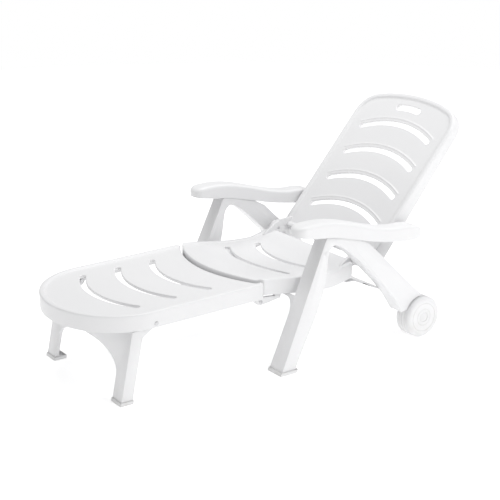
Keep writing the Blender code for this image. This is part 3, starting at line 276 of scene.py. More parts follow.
def plate(outline, low, high, bevel=0.0012):
    # a flat side-view outline given a thickness across the lounger
    work = bmesh.new()
    near = [work.verts.new((x, low, z)) for x, z in outline]
    far = [work.verts.new((x, high, z)) for x, z in outline]
    work.faces.new(near)
    work.faces.new(far[::-1])
    for i in range(len(outline)):
        j = (i + 1) % len(outline)
        work.faces.new((near[j], near[i], far[i], far[j]))
    bmesh.ops.recalc_face_normals(work, faces=work.faces)
    corners = [edge for edge in work.edges if edge.calc_face_angle(0.0) > 0.6]
    bmesh.ops.bevel(work, geom=corners, offset=bevel, segments=2, profile=0.6, affect="EDGES",
                    clamp_overlap=True)
    return work


def addParts(piece, parts):
    # closed bodies moulded in one with the shell
    whole = bmesh.new()
    whole.from_mesh(piece.data)
    for part in parts:
        spare = bpy.data.meshes.new("part")
        part.to_mesh(spare)
        part.free()
        whole.from_mesh(spare)
        bpy.data.meshes.remove(spare)
    whole.to_mesh(piece.data)
    whole.free()


def hullOf(points):
    # the smallest bulging outline round side-view points
    ordered = sorted(set((round(x, 6), round(z, 6)) for x, z in points))

    def half(row):
        kept = []
        for point in row:
            while len(kept) > 1 and turn(kept[-2], kept[-1], point) <= 0:
                kept.pop()
            kept.append(point)
        return kept[:-1]

    def turn(a, b, c):
        return (b[0] - a[0]) * (c[1] - a[1]) - (b[1] - a[1]) * (c[0] - a[0])

    return half(ordered) + half(ordered[::-1])


def disc(x, z, radius, steps=36):
    angles = [2 * math.pi * i / steps for i in range(steps)]
    return [(x + radius * math.cos(angle), z + radius * math.sin(angle)) for angle in angles]


def turned(profile, x, z, sign, steps=96):
    # a closed profile of (radius, y) turned round an axle across the lounger
    work = bmesh.new()
    rings = []
    for i in range(steps):
        angle = 2 * math.pi * i / steps
        rings.append([work.verts.new((x + r * math.cos(angle), sign * y, z + r * math.sin(angle)))
                      for r, y in profile])
    for ring, following in zip(rings, rings[1:] + rings[:1]):
        for j in range(len(profile)):
            k = (j + 1) % len(profile)
            work.faces.new((ring[j], ring[k], following[k], following[j]))
    bmesh.ops.remove_doubles(work, verts=work.verts, dist=0.00001)
    bmesh.ops.recalc_face_normals(work, faces=work.faces)
    return work


class Recipe:
    # a geometry node tree with named inputs
    def __init__(self, name, inputs):
        self.tree = bpy.data.node_groups.new(name, "GeometryNodeTree")
        self.tree.interface.new_socket("Geometry", in_out="OUTPUT", socket_type="NodeSocketGeometry")
        for label, kind in {"Geometry": "Geometry", **inputs, "Material": "Material"}.items():
            self.tree.interface.new_socket(label, in_out="INPUT", socket_type="NodeSocket" + kind)
        self.given = self.tree.nodes.new("NodeGroupInput").outputs

    def node(self, kind, settings, sockets, output=0):
        made = self.tree.nodes.new(kind)
        for name, setting in settings.items():
            setattr(made, name, setting)
        for name, value in sockets.items():
            if isinstance(value, bpy.types.NodeSocket):
                self.tree.links.new(value, made.inputs[name])
            else:
                made.inputs[name].default_value = value
        return made.outputs[output]

    def close(self, result):
        real = self.node("GeometryNodeRealizeInstances", {}, {0: result})
        coated = self.node("GeometryNodeSetMaterial", {}, {0: real, "Material": self.given["Material"]})
        self.tree.links.new(coated, self.tree.nodes.new("NodeGroupOutput").inputs[0])

    def cook(self, piece, values):
        modifier = piece.modifiers.new("recipe", "NODES")
        modifier.node_group = self.tree
        for item in self.tree.interface.items_tree:
            if item.in_out == "INPUT" and item.name in values:
                modifier[item.identifier] = values[item.name]
        return settle(piece)


def ribRecipe():
    # a straight-sided rib hangs from every line of the mesh
    ribs = Recipe("ribs", {"Thickness": "Float", "Depth": "Float"})
    half = ribs.node("ShaderNodeMath", {"operation": "MULTIPLY"}, {0: ribs.given["Depth"], 1: -0.5})
    drop = ribs.node("ShaderNodeCombineXYZ", {}, {"Z": half})
    lines = ribs.node("GeometryNodeMeshToCurve", {}, {0: ribs.given["Geometry"]})
    level = ribs.node("GeometryNodeSetCurveNormal", {"mode": "Z_UP"}, {"Curve": lines})
    section = ribs.node("GeometryNodeCurvePrimitiveQuadrilateral", {}, {
        "Width": ribs.given["Thickness"], "Height": ribs.given["Depth"]})
    swept = ribs.node("GeometryNodeCurveToMesh", {}, {
        "Curve": level, "Profile Curve": section, "Fill Caps": True})
    ribs.close(ribs.node("GeometryNodeSetPosition", {}, {"Geometry": swept, "Offset": drop}))
    return ribs


def spokeRecipe():
    # flat spokes stand round an axle across the lounger
    spokes = Recipe("spokes", {"Count": "Int", "Inner": "Float", "Outer": "Float", "Thickness": "Float",
                               "Width": "Float"})
    length = spokes.node("ShaderNodeMath", {"operation": "SUBTRACT"}, {
        0: spokes.given["Outer"], 1: spokes.given["Inner"]})
    both = spokes.node("ShaderNodeMath", {"operation": "ADD"}, {
        0: spokes.given["Outer"], 1: spokes.given["Inner"]})
    middle = spokes.node("ShaderNodeMath", {"operation": "MULTIPLY"}, {0: both, 1: 0.5})
    size = spokes.node("ShaderNodeCombineXYZ", {}, {
        "X": length, "Y": spokes.given["Width"], "Z": spokes.given["Thickness"]})
    blade = spokes.node("GeometryNodeMeshCube", {}, {"Size": size, "Vertices X": 6, "Vertices Y": 4})
    shift = spokes.node("ShaderNodeCombineXYZ", {}, {"X": middle})
    blade = spokes.node("GeometryNodeTransform", {}, {"Geometry": blade, "Translation": shift})
    stack = spokes.node("GeometryNodeMeshLine", {}, {
        "Count": spokes.given["Count"], "Offset": (0.0, 0.0, 0.0)})
    index = spokes.node("GeometryNodeInputIndex", {}, {})
    turn = spokes.node("ShaderNodeMath", {"operation": "DIVIDE"}, {
        0: 2 * math.pi, 1: spokes.given["Count"]})
    angle = spokes.node("ShaderNodeMath", {"operation": "MULTIPLY"}, {0: index, 1: turn})
    spin = spokes.node("ShaderNodeCombineXYZ", {}, {"Y": angle})
    spokes.close(spokes.node("GeometryNodeInstanceOnPoints", {}, {
        "Points": stack, "Instance": blade, "Rotation": spin}))
    return spokes


def lineObject(name, lines):
    # loose edges for a recipe to build on
    work = bmesh.new()
    for line in lines:
        row = [work.verts.new(point) for point in line]
        for a, b in zip(row, row[1:]):
            work.edges.new((a, b))
    return meshObject(name, work)


ribs, spokes = ribRecipe(), spokeRecipe()
rib = {"thickness": 0.0024, "sink": 0.0004, "sharp": 25.0, "places": (-0.15, -0.075, 0.0, 0.075, 0.15),
       "farPlaces": (-0.225, -0.075, 0.075, 0.225)}


def addRibs(name, lines, place, body, depth):
    piece = lineObject(name, lines)
    ribs.cook(piece, {"Thickness": rib["thickness"], "Depth": depth, "Material": panelPlastic})
    dress(shift(piece, place), panelPlastic, body, sharp=rib["sharp"])
    calmFaces(piece)


def crossRib(middle, bow, halfSpan, height):
    return [(x, y, height(x)) for x, y in arc(middle, bow, halfSpan, 12)]


def longRibs(start, end, bow, halfSpan, places, height):
    # short ribs along the lounger between two bowed lines, at a few places across it
    radius = (halfSpan ** 2 + bow ** 2) / (2 * bow)
    rows = []
    for y in places:
        push = radius - math.copysign(math.sqrt(radius ** 2 - y ** 2), radius)
        rows.append([(x + push, y, height(x + push)) for x in np.linspace(start, end, 8)])
    return rows


def dress(piece, material, body, stands=(), sharp=35.0):
    mesh = piece.data
    mesh.materials.clear()
    mesh.materials.append(material)
    mesh.shade_smooth()
    mesh.set_sharp_from_angle(angle=math.radians(sharp))
    markEdges(piece)
    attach(piece, body)
    if stands:
        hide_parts(*stands)
    return piece


def shift(piece, matrix):
    piece.data.transform(matrix)
    return piece


def ringDistance(points, ring, closed=True):
    # distance from every point to a line of short straight runs
    starts = np.array(ring)
    ends = np.roll(starts, -1, 0)
    if not closed:
        starts, ends = starts[:-1], ends[:-1]
    best = np.full(len(points), 1e9)
    for start, end in zip(starts, ends):
        run = end - start
        along = np.clip((points - start) @ run / max(run @ run, 1e-12), 0.0, 1.0)
        gap = points - start - along[:, None] * run
        best = np.minimum(best, np.hypot(gap[:, 0], gap[:, 1]))
    return best


def insideRing(points, ring):
    starts = np.array(ring)
    ends = np.roll(starts, -1, 0)
    within = np.zeros(len(points), bool)
    for (ax, ay), (bx, by) in zip(starts, ends):
        if ay == by:
            continue
        crosses = (ay > points[:, 1]) != (by > points[:, 1])
        within ^= crosses & (points[:, 0] < (bx - ax) * (points[:, 1] - ay) / (by - ay) + ax)
    return within


def evenly(ring, spacing, closed=True):
    # the same line with points at an even spacing
    line = [Vector(point) for point in ring]
    if closed:
        line.append(line[0])
    reach = [0.0]
    for a, b in zip(line, line[1:]):
        reach.append(reach[-1] + (b - a).length)
    count = max(3, round(reach[-1] / spacing))
    steps = np.linspace(0.0, reach[-1], count + 1)
    if closed:
        steps = steps[:-1]
    xs = np.interp(steps, reach, [p.x for p in line])
    ys = np.interp(steps, reach, [p.y for p in line])
    return [(float(x), float(y)) for x, y in zip(xs, ys)]


def sidestep(ring, distance, closed=True):
    # points at a distance to the left of the line
    line = np.array(ring)
    before, after = np.roll(line, 1, 0), np.roll(line, -1, 0)
    if not closed:
        before[0], after[-1] = line[0], line[-1]
    run = after - before
    normal = np.stack([-run[:, 1], run[:, 0]], 1)
    normal /= np.maximum(np.linalg.norm(normal, axis=1), 1e-12)[:, None]
    return line + normal * distance


def rounded(gap, radius):
    # how far a rounded edge has dropped at a distance in from the side
    inner = np.clip(radius - gap, 0.0, radius)
    return radius - np.sqrt(np.maximum(radius ** 2 - inner ** 2, 0.0))


def ease(value, low, high):
    share = np.clip((value - low) / (high - low), 0.0, 1.0)
    return share * share * (3 - 2 * share)


meshing = {
    "slotSpacing": 0.8, "gridStep": 1.6, "rowStep": 0.866,  # shares of the outline's spacing, of a step
    "rowRoom": 0.97, "outlineRoom": 0.0003, "slotRoom": 0.0004, "gridRoom": 0.62, "crowding": 0.0005,
    "onOutline": 0.0002, "slotRadius": 0.0025,
    "skirtSteps": (0.08, 0.5, 0.94, 1.0), "slotSteps": (0.35, 1.0),
    "edgeRows": (0.0005, 0.0012, 0.0022, 0.0035, 0.0052, 0.0080, 0.0120, 0.0160, 0.0180, 0.0200, 0.0220,
                 0.0240, 0.0262, 0.0300),
    "slotRows": (0.0005, 0.0012, 0.0022, 0.0040, 0.0070),
    "ridgeRows": (-0.009, -0.006, -0.004, -0.0025, -0.0012, 0.0, 0.0012, 0.0025, 0.004, 0.006, 0.009),
}


def onShell(points, outline, slots):
    # inside the outline and outside every slot
    within = insideRing(points, outline)
    for slot in slots:
        within &= ~insideRing(points, slot)
    return within


def shellRows(shape, outline, slots):
    # points at fixed distances from the outline, the slots and the raised lines
    rows = []
    for gap in shape.get("edgeRows", meshing["edgeRows"]):
        row = sidestep(outline, gap)
        rows.append(row[ringDistance(row, outline) > gap * meshing["rowRoom"]])
    for slot in slots:
        for gap in meshing["slotRows"]:
            row = sidestep(slot, -gap)
            rows.append(row[ringDistance(row, slot) > gap * meshing["rowRoom"]])
    for line in shape.get("ridges", ()):
        line = evenly(line, shape["spacing"], False)
        rows += [sidestep(line, gap, False) for gap in meshing["ridgeRows"]]
    loose = np.concatenate(rows)
    loose = loose[onShell(loose, outline, slots)]
    loose = loose[ringDistance(loose, outline) > meshing["outlineRoom"]]
    for slot in slots:
        loose = loose[ringDistance(loose, slot) > meshing["slotRoom"]]
    return loose


def shellGrid(outline, slots, step):
    # even points over the rest of the top, every second row moved by half a step
    low, high = np.array(outline).min(0), np.array(outline).max(0)
    across = np.arange(low[0], high[0], step)
    along = np.arange(low[1], high[1], step * meshing["rowStep"])
    grid = np.array([(x + (row % 2) * step / 2, y) for row, y in enumerate(along) for x in across])
    return grid[onShell(grid, outline, slots)]


def shellHeights(shape, places, outline, slots):
    fromEdge = ringDistance(places, outline)
    fromRim = fromEdge
    if "rims" in shape:
        fromRim = np.min([ringDistance(places, rim, False) for rim in shape["rims"]], axis=0)
    heights = shape["height"](places[:, 0], places[:, 1]) + shape["edge"](fromEdge, fromRim)
    if slots:
        fromSlots = np.min([ringDistance(places, slot) for slot in slots], axis=0)
        heights -= rounded(fromSlots, meshing["slotRadius"])
    for line in shape.get("ridges", ()):
        gap = ringDistance(places, line, False)
        heights += shape["ridgeHeight"] * np.exp(-(gap / shape["ridgeWidth"]) ** 2)
    return heights


def shellTop(shape, outline, slots):
    # the top face as a bmesh that faces up, with its edges along the outline and the slots
    fixed = [np.array(line) for line in [outline] + slots]
    placed = np.concatenate(fixed + [shellRows(shape, outline, slots)])
    step = shape["spacing"] * meshing["gridStep"]
    points = thinned(placed, sum(len(line) for line in fixed), shellGrid(outline, slots, step),
                     step * meshing["gridRoom"])
    edges, start = [], 0
    for line in fixed:
        edges += [(start + i, start + (i + 1) % len(line)) for i in range(len(line))]
        start += len(line)
    flat = [Vector((float(x), float(y))) for x, y in points]
    verts, _, faces, _, _, _ = geometry.delaunay_2d_cdt(flat, edges, [], 0, 1e-6)
    places = np.array([tuple(v) for v in verts])
    centres = np.array([places[list(face)].mean(0) for face in faces])
    keep = onShell(centres, outline, slots)
    heights = shellHeights(shape, places, outline, slots)
    work = bmesh.new()
    made = [work.verts.new((x, y, z)) for (x, y), z in zip(places, heights)]
    for face, kept in zip(faces, keep):
        if kept:
            work.faces.new([made[i] for i in face])
    bmesh.ops.delete(work, geom=[v for v in work.verts if not v.link_faces], context="VERTS")
    bmesh.ops.recalc_face_normals(work, faces=work.faces)
    if sum(face.normal.z for face in work.faces) < 0:
        bmesh.ops.reverse_faces(work, faces=work.faces)
    return work


def dropWall(work, edges, rule):
    # extrudes the edges and moves the new ones to the height that the rule gives
    made = bmesh.ops.extrude_edge_only(work, edges=edges)["geom"]
    for item in made:
        if isinstance(item, bmesh.types.BMVert):
            item.co.z = rule(item.co)
    return [item for item in made if isinstance(item, bmesh.types.BMEdge) and item.is_boundary]


def mouldedShell(name, shape):
    # a thin moulding: a top that follows a height rule, a rolled edge, walls down to a skirt and
    # short walls round every slot
    outline = evenly(shape["outline"], shape["spacing"])
    slotSpacing = shape["spacing"] * meshing["slotSpacing"]
    slots = [evenly(slot, slotSpacing) for slot in shape.get("slots", ())]
    work = shellTop(shape, outline, slots)
    border = [edge for edge in work.edges if edge.is_boundary]
    middles = np.array([tuple(((e.verts[0].co + e.verts[1].co) / 2).xy) for e in border])
    nearEdge = ringDistance(middles, outline) < meshing["onOutline"]
    outer = [edge for edge, near in zip(border, nearEdge) if near]
    inner = [edge for edge, near in zip(border, nearEdge) if not near]
    bottom = shape["skirt"]
    for share in meshing["skirtSteps"]:
        outer = dropWall(work, outer, lambda v: v.z + (bottom(v.x, v.y) - v.z) * share)
    if inner:
        whole = sum(meshing["slotSteps"])
        for fall in meshing["slotSteps"]:
            inner = dropWall(work, inner, lambda v: v.z - shape["slotWall"] * fall / whole)
    shell = meshObject(name, work)
    wall = shell.modifiers.new("wall", "SOLIDIFY")
    wall.thickness = shape["wall"]
    wall.offset = -1.0
    wall.use_quality_normals = True
    return settle(shell)


def thinned(placed, keepFirst, grid, room):
    # drops a point that crowds an earlier one, and grid points near any of them
    tree = kdtree.KDTree(len(placed))
    for index, (x, y) in enumerate(placed):
        tree.insert((x, y, 0.0), index)
    tree.balance()
    kept = []
    for index, (x, y) in enumerate(placed):
        near = tree.find_range((x, y, 0.0), meshing["crowding"])
        crowded = any(other < index for _, other, _ in near)
        if index < keepFirst or not crowded:
            kept.append((x, y))
    free = [(x, y) for x, y in grid if tree.find((x, y, 0.0))[2] > room]
    return kept + free


def fillet(corner, before, after, radius, steps=6):
    # an arc in place of the corner between two straight runs
    corner, before, after = Vector(corner), Vector(before), Vector(after)
    back, on = (before - corner).normalized(), (after - corner).normalized()
    half = back.angle(on) / 2
    centre = corner + (back + on).normalized() * (radius / math.sin(half))
    first = (corner + back * (radius / math.tan(half)) - centre).normalized()
    last = (corner + on * (radius / math.tan(half)) - centre).normalized()
    return [tuple(centre + first.slerp(last, i / steps).normalized() * radius) for i in range(steps + 1)]


def arc(middle, bow, halfSpan, steps=24):
    # a line across the lounger whose ends lie further along X than its middle by the bow
    radius = (halfSpan ** 2 + bow ** 2) / (2 * bow)
    half = math.asin(halfSpan / radius)
    return [(middle + radius - radius * math.cos(half * i / steps), radius * math.sin(half * i / steps))
            for i in range(-steps, steps + 1)]


def slotRing(middle, bow, halfSpan, width):
    line = arc(middle, bow, halfSpan)
    one, other = sidestep(line, width / 2, False), sidestep(line, -width / 2, False)
    ring = [tuple(p) for p in one] + roundEnd(line[-1], one[-1])
    ring += [tuple(p) for p in other[::-1]] + roundEnd(line[0], other[0])
    return anticlockwise(ring)


def roundEnd(centre, start):
    out = Vector(start) - Vector(centre)
    return [tuple(Vector(centre) + Matrix.Rotation(-math.pi * i / 8, 2) @ out) for i in range(1, 8)]


def anticlockwise(ring):
    area = sum(a[0] * b[1] - b[0] * a[1] for a, b in zip(ring, ring[1:] + ring[:1]))
    return ring if area > 0 else ring[::-1]


def mirroredRing(half):
    # half runs from the middle line, round the +Y side and back to the middle line
    return anticlockwise(half + [(x, -y) for x, y in half[::-1] if abs(y) > 1e-6])


def curveThrough(points):
    # a smooth height rule through a few side-view points
    xs, zs = np.array([p[0] for p in points]), np.array([p[1] for p in points])
    slopes = np.gradient(zs, xs)

    def rule(x):
        x = np.clip(x, xs[0], xs[-1])
        i = np.clip(np.searchsorted(xs, x) - 1, 0, len(xs) - 2)
        width = xs[i + 1] - xs[i]
        t = (x - xs[i]) / width
        return ((2 * t**3 - 3 * t**2 + 1) * zs[i] + (t**3 - 2 * t**2 + t) * width * slopes[i]
                + (3 * t**2 - 2 * t**3) * zs[i + 1] + (t**3 - t**2) * width * slopes[i + 1])

    return rule


def rolledRim(radius, dish, start, end):
    return lambda gap, rim: -rounded(gap, radius) - dish * ease(rim, start, end)


seat = {
    "length": 0.545, "halfWidth": 0.288, "frontBow": 0.083, "rearGap": 0.012, "rise": 0.011, "dip": 0.026,
    "dipAt": 0.145, "skirt": 0.062, "slots": (0.355, 0.202), "slotBow": 0.060, "slotSpan": 0.205,
    "slotWidth": 0.024, "slotWall": 0.009, "wall": 0.0036, "spacing": 0.0062,
    "edgeRadius": 0.006, "dish": 0.0068, "dishFrom": 0.016, "dishTo": 0.027, "rimReach": 0.560,
    "frontCorner": 0.016, "notch": (-0.034, 0.2625), "notchCorner": 0.006,
    "crossRibs": (-0.452, -0.279, -0.120), "crossRibSpan": 0.262, "ribDepth": 0.012,
    "longRibs": ((-0.438, -0.372), (-0.338, -0.219), (-0.185, -0.108)),
}
seat["frontRadius"] = (seat["halfWidth"] ** 2 + seat["frontBow"] ** 2) / (2 * seat["frontBow"])


def seatTop(x, y=0.0):
    reach = -np.asarray(x)
    back = hinge.z - seat["dip"] * (1 - np.cos(np.pi * np.clip(reach / seat["dipAt"], 0, 1))) / 2
    share = np.clip((reach - seat["dipAt"]) / (seat["length"] - seat["dipAt"]), 0, 1)
    front = hinge.z - seat["dip"] + (seat["dip"] + seat["rise"]) * (1 - np.cos(np.pi * share)) / 2
    return np.where(reach < seat["dipAt"], back, front)


def frontBow(radius, halfWidth):
    # the bowed line at the seat's front, from the middle line to just short of the side, and its corner
    centre = seat["frontRadius"] - seat["length"]
    angle = math.asin(halfWidth / radius)
    turns = [angle * i / 20 for i in range(19)]
    line = [(centre - radius * math.cos(turn), radius * math.sin(turn)) for turn in turns]
    return line, (centre - radius * math.cos(angle), halfWidth)


def seatOutline():
    half, rear = seat["halfWidth"], -seat["rearGap"]
    notchX, notchY = seat["notch"]
    front, corner = frontBow(seat["frontRadius"], half)
    ring = front + fillet(corner, front[-1], (rear, half), seat["frontCorner"])
    ring += fillet((notchX, half), corner, (notchX, notchY), seat["notchCorner"], 4)
    ring += fillet((notchX, notchY), (notchX, half), (rear, notchY), 0.0025, 3)
    ring += fillet((rear, notchY), (notchX, notchY), (rear, 0.0), 0.004, 3)
    return mirroredRing(ring + [(rear, 0.0)])


toWorld = Matrix.Translation((hinge.x, 0.0, 0.0))
seatShell = mouldedShell("seatShell", {
    "outline": seatOutline(), "spacing": seat["spacing"], "wall": seat["wall"],
    "slots": [slotRing(-at, seat["slotBow"], seat["slotSpan"], seat["slotWidth"]) for at in seat["slots"]],
    "height": seatTop, "edge": rolledRim(seat["edgeRadius"], seat["dish"], seat["dishFrom"], seat["dishTo"]),
    "skirt": lambda x, y: float(seatTop(x)) - seat["skirt"], "slotWall": seat["slotWall"],
    "rims": [[(-seat["rimReach"], y), (0.0, y)] for y in (-seat["halfWidth"], seat["halfWidth"])],
})
hingeFlat, footHinge = (0.0, hinge.z), (footAxis.x - hinge.x, footAxis.z)
ear = {"radius": 0.028, "inner": 0.250, "thick": 0.014, "root": -0.075, "rootSink": 0.0045, "rootDepth": 1.5}
# the arms' side-view points are (x, height over the footrest's hinge)
arm = {
    "middle": 0.270, "thick": 0.016, "boss": 0.014, "inset": 0.0006, "under": 0.0095, "underAt": -0.39,
    "reach": ((-0.462, -0.0165), (-0.378, -0.004), (-0.385, 0.005)),
    "postFoot": ((-0.400, -0.004), (-0.379, -0.002)), "postTop": (-0.352, -0.420),
}


def overFootHinge(points):
    return [(x, footHinge[1] + rise) for x, rise in points]


seatParts = []
for _, sign in sides:
    outline = hullOf(disc(*hingeFlat, ear["radius"]) + [
        (ear["root"], float(seatTop(ear["root"])) - ear["rootSink"]),
        (ear["root"], hinge.z - ear["radius"] * ear["rootDepth"])])
    seatParts.append(plate(outline, sign * ear["inner"], sign * (ear["inner"] + ear["thick"])))
    low, high = sign * (arm["middle"] - arm["thick"] / 2), sign * (arm["middle"] + arm["thick"] / 2)
    under = float(seatTop(arm["underAt"])) - arm["under"]
    reach = hullOf(disc(*footHinge, arm["boss"]) + overFootHinge(arm["reach"]))
    post = overFootHinge(arm["postFoot"]) + [(x, under) for x in arm["postTop"]]
    seatParts += [plate(reach, low, high), plate(post, low + sign * arm["inset"], high - sign * arm["inset"])]
addParts(seatShell, seatParts)
dress(shift(seatShell, toWorld), panelPlastic, "frame", ["seat_panel"])


def seatUnder(x):
    return float(seatTop(x)) - seat["dish"] - seat["wall"] + rib["sink"]


seatLines = [crossRib(at, seat["slotBow"], seat["crossRibSpan"], seatUnder) for at in seat["crossRibs"]]
for start, end in seat["longRibs"]:
    seatLines += longRibs(start, end, seat["slotBow"], seat["slotSpan"], rib["places"], seatUnder)
addRibs("seatRibs", seatLines, toWorld, "frame", seat["ribDepth"])
print("seat", len(seatShell.data.polygons), "faces")

footrest = {
    "tip": 1.205, "halfWidth": 0.302, "endLength": 0.255, "gap": 0.006, "top": 0.344, "skirt": 0.062,
    "firstSlot": 1.020, "slotPitch": 0.153, "slotWall": 0.009, "wall": 0.0036, "spacing": 0.0064,
    "edgeRadius": 0.006, "dish": 0.0068, "dishFrom": 0.016, "dishTo": 0.027, "rimEnd": -0.440,
    "rearCorner": 0.012, "tilt": 1.25,
    "crossRibs": (-1.094, -0.944, -0.790, -0.620), "crossRibSpan": 0.255, "ribDepth": 0.012,
    "longRibs": ((-1.08, -1.037), (-1.003, -0.884), (-0.850, -0.731), (-0.697, -0.634)),
}
footrest["rearRadius"] = seat["frontRadius"] + footrest["gap"]


def footrestEnd():
    half, reach = footrest["halfWidth"], footrest["endLength"]
    start = -footrest["tip"] + reach
    turns = [math.pi / 2 * i / 30 for i in range(31)]
    return [(start - reach * math.cos(turn), half * math.sin(turn)) for turn in turns]


def footrestRim():
    # the raised rim runs round the foot end and along both sides, not across the rear
    half = footrestEnd() + [(footrest["rimEnd"], footrest["halfWidth"])]
    return [(x, -y) for x, y in half[::-1]] + half[1:]


def footrestOutline():
    ring = footrestEnd()
    rear, corner = frontBow(footrest["rearRadius"], footrest["halfWidth"])
    rear.reverse()
    return mirroredRing(ring + fillet(corner, ring[-1], rear[0], footrest["rearCorner"]) + rear)


tilt = Matrix.Translation(footAxis) @ Matrix.Rotation(math.radians(-footrest["tilt"]), 4, "Y") \
    @ Matrix.Translation(-footAxis)
footSlots = [-footrest["firstSlot"] + footrest["slotPitch"] * i for i in range(3)]
footrestShell = mouldedShell("footrestShell", {
    "outline": footrestOutline(), "spacing": footrest["spacing"], "wall": footrest["wall"],
    "slots": [slotRing(at, seat["slotBow"], seat["slotSpan"], seat["slotWidth"]) for at in footSlots],
    "height": lambda x, y: np.full(len(x), footrest["top"]),
    "edge": rolledRim(footrest["edgeRadius"], footrest["dish"], footrest["dishFrom"], footrest["dishTo"]),
    "skirt": lambda x, y: footrest["top"] - footrest["skirt"], "slotWall": footrest["slotWall"],
    "rims": [footrestRim()],
})
# a pair of lugs straddles each of the seat's arms
lug = {"radius": 0.013, "thick": 0.008, "innerGap": 0.0095, "outerGap": 0.0015, "bevel": 0.0008,
       "inset": 0.0005, "under": 0.0095, "root": -0.045, "wallInset": 0.010, "wallFoot": 0.003,
       "throat": ((-0.012, -0.006), (-0.004, 0.008))}
lugs = []
for _, sign in sides:
    for inner in (arm["middle"] - arm["thick"] / 2 - lug["innerGap"],
                  arm["middle"] + arm["thick"] / 2 + lug["outerGap"]):
        outer = inner + lug["thick"]
        rearX = seat["frontRadius"] - seat["length"] - math.sqrt(footrest["rearRadius"] ** 2 - outer ** 2)
        wallX = rearX - lug["wallInset"]
        under, skirtEnd = footrest["top"] - lug["under"], footrest["top"] - footrest["skirt"]
        x, z = footHinge
        neck = [(x + step, z + rise) for step, rise in lug["throat"]]
        neck += [(x + lug["root"], under), (wallX, skirtEnd + lug["wallFoot"]), (wallX, under)]
        lugs.append(plate(disc(x, z, lug["radius"]), sign * inner, sign * outer, lug["bevel"]))
        lugs.append(plate(hullOf(neck), sign * (inner + lug["inset"]), sign * (outer - lug["inset"]),
                          lug["bevel"]))
addParts(footrestShell, lugs)


def footUnder(x):
    return footrest["top"] - footrest["dish"] - footrest["wall"] + rib["sink"]


footLines = [crossRib(at, seat["slotBow"], footrest["crossRibSpan"], footUnder)
             for at in footrest["crossRibs"]]
for start, end in footrest["longRibs"]:
    footLines += longRibs(start, end, seat["slotBow"], seat["slotSpan"], rib["places"], footUnder)
addRibs("footrestRibs", footLines, tilt @ toWorld, "footrest", footrest["ribDepth"])
dress(shift(footrestShell, tilt @ toWorld), panelPlastic, "footrest", ["footrest_panel"])
print("footrest", len(footrestShell.data.polygons), "faces")

back = {
    "length": 0.765, "bottom": 0.033, "halfWidth": 0.297, "face": -0.038, "crownDrop": 0.050,
    "cornerRadius": 0.105, "depthTop": 0.040, "depthBottom": 0.062, "slotFromTop": 0.146, "slotPitch": 0.135,
    "slotBow": 0.045, "slotSpan": 0.205, "slotWidth": 0.022, "archAbove": 0.026, "handleFromTop": 0.064,
    "handleHalf": 0.058, "handleWidth": 0.028, "handleBow": 0.005, "slotWall": 0.008, "wall": 0.0036,
    "spacing": 0.0064, "edgeRadius": 0.007, "dish": 0.0062, "dishFrom": 0.015, "dishTo": 0.026,
    "footCorner": 0.012, "archBow": 1.12, "archLonger": 0.018, "archHeight": 0.0022, "archWidth": 0.0034,
    "cheekThick": 0.012, "cheekRoom": 0.0015, "cheekRoots": (0.085, 0.050), "cheekSink": 0.009,
    "cheekDepth": 0.85, "bossRadius": 0.014, "bossReach": (0.020, 0.002), "bossBevel": 0.001,
    "ribDepth": 0.010, "ribSpan": 0.235, "ribAbove": 0.034, "ribBelow": 0.036, "shortRib": (0.034, 0.016),
    "longRib": (0.036, 0.038), "recline": 49.0,
}


def backOutline():
    # the backrest lying flat: x up the back from its hinge, y across
    half, top = back["halfWidth"], back["length"]
    drop = back["crownDrop"]
    radius = (half ** 2 + drop ** 2) / (2 * drop)
    across = [half * i / 24 for i in range(15)]
    crown = [(top - radius + math.sqrt(radius ** 2 - y ** 2), y) for y in across]
    bottom = back["bottom"]
    corner = (top - drop, half)
    ring = [(bottom, 0.0)] + fillet((bottom, half), (bottom, 0.0), corner, back["footCorner"])
    ring += fillet(corner, (bottom, half), crown[-1], back["cornerRadius"], 14)
    return mirroredRing(ring + crown[::-1])


def backDepth(x):
    share = (x - back["bottom"]) / (back["length"] - back["bottom"])
    return back["depthBottom"] + (back["depthTop"] - back["depthBottom"]) * share


backSlots = [back["length"] - back["slotFromTop"] - back["slotPitch"] * i for i in range(4)]
backRings = [slotRing(at, -back["slotBow"], back["slotSpan"], back["slotWidth"]) for at in backSlots]
backRings.append(slotRing(back["length"] - back["handleFromTop"], -back["handleBow"], back["handleHalf"],
                          back["handleWidth"]))
archLines = [arc(at + back["archAbove"], -back["slotBow"] * back["archBow"],
                 back["slotSpan"] + back["archLonger"]) for at in backSlots]
standUp = Matrix.Translation(hinge) @ Matrix.Rotation(math.radians(-back["recline"]), 4, "Y")
backShell = mouldedShell("backShell", {
    "outline": backOutline(), "spacing": back["spacing"], "wall": back["wall"],
    "slots": backRings, "ridges": archLines,
    "ridgeHeight": back["archHeight"], "ridgeWidth": back["archWidth"],
    "height": lambda x, y: np.full(len(x), back["face"]),
    "edge": rolledRim(back["edgeRadius"], back["dish"], back["dishFrom"], back["dishTo"]),
    "skirt": lambda x, y: back["face"] - backDepth(x), "slotWall": back["slotWall"],
})
# cheeks at the hinge, outside the seat's ears, and bosses for the armrests' pins
cheeks = []
pinAt = standUp.inverted() @ armAxis
for _, sign in sides:
    inner = ear["inner"] + ear["thick"] + back["cheekRoom"]
    farRoot, nearRoot = back["cheekRoots"]
    outline = hullOf(disc(0.0, 0.0, ear["radius"]) + [
        (farRoot, back["face"] - back["cheekSink"]),
        (nearRoot, (back["face"] - back["depthBottom"]) * back["cheekDepth"])])
    cheeks.append(plate(outline, sign * inner, sign * (inner + back["cheekThick"])))
    low, high = (sign * (back["halfWidth"] - reach) for reach in back["bossReach"])
    cheeks.append(plate(disc(pinAt.x, pinAt.z, back["bossRadius"]), low, high, back["bossBevel"]))
addParts(backShell, cheeks)


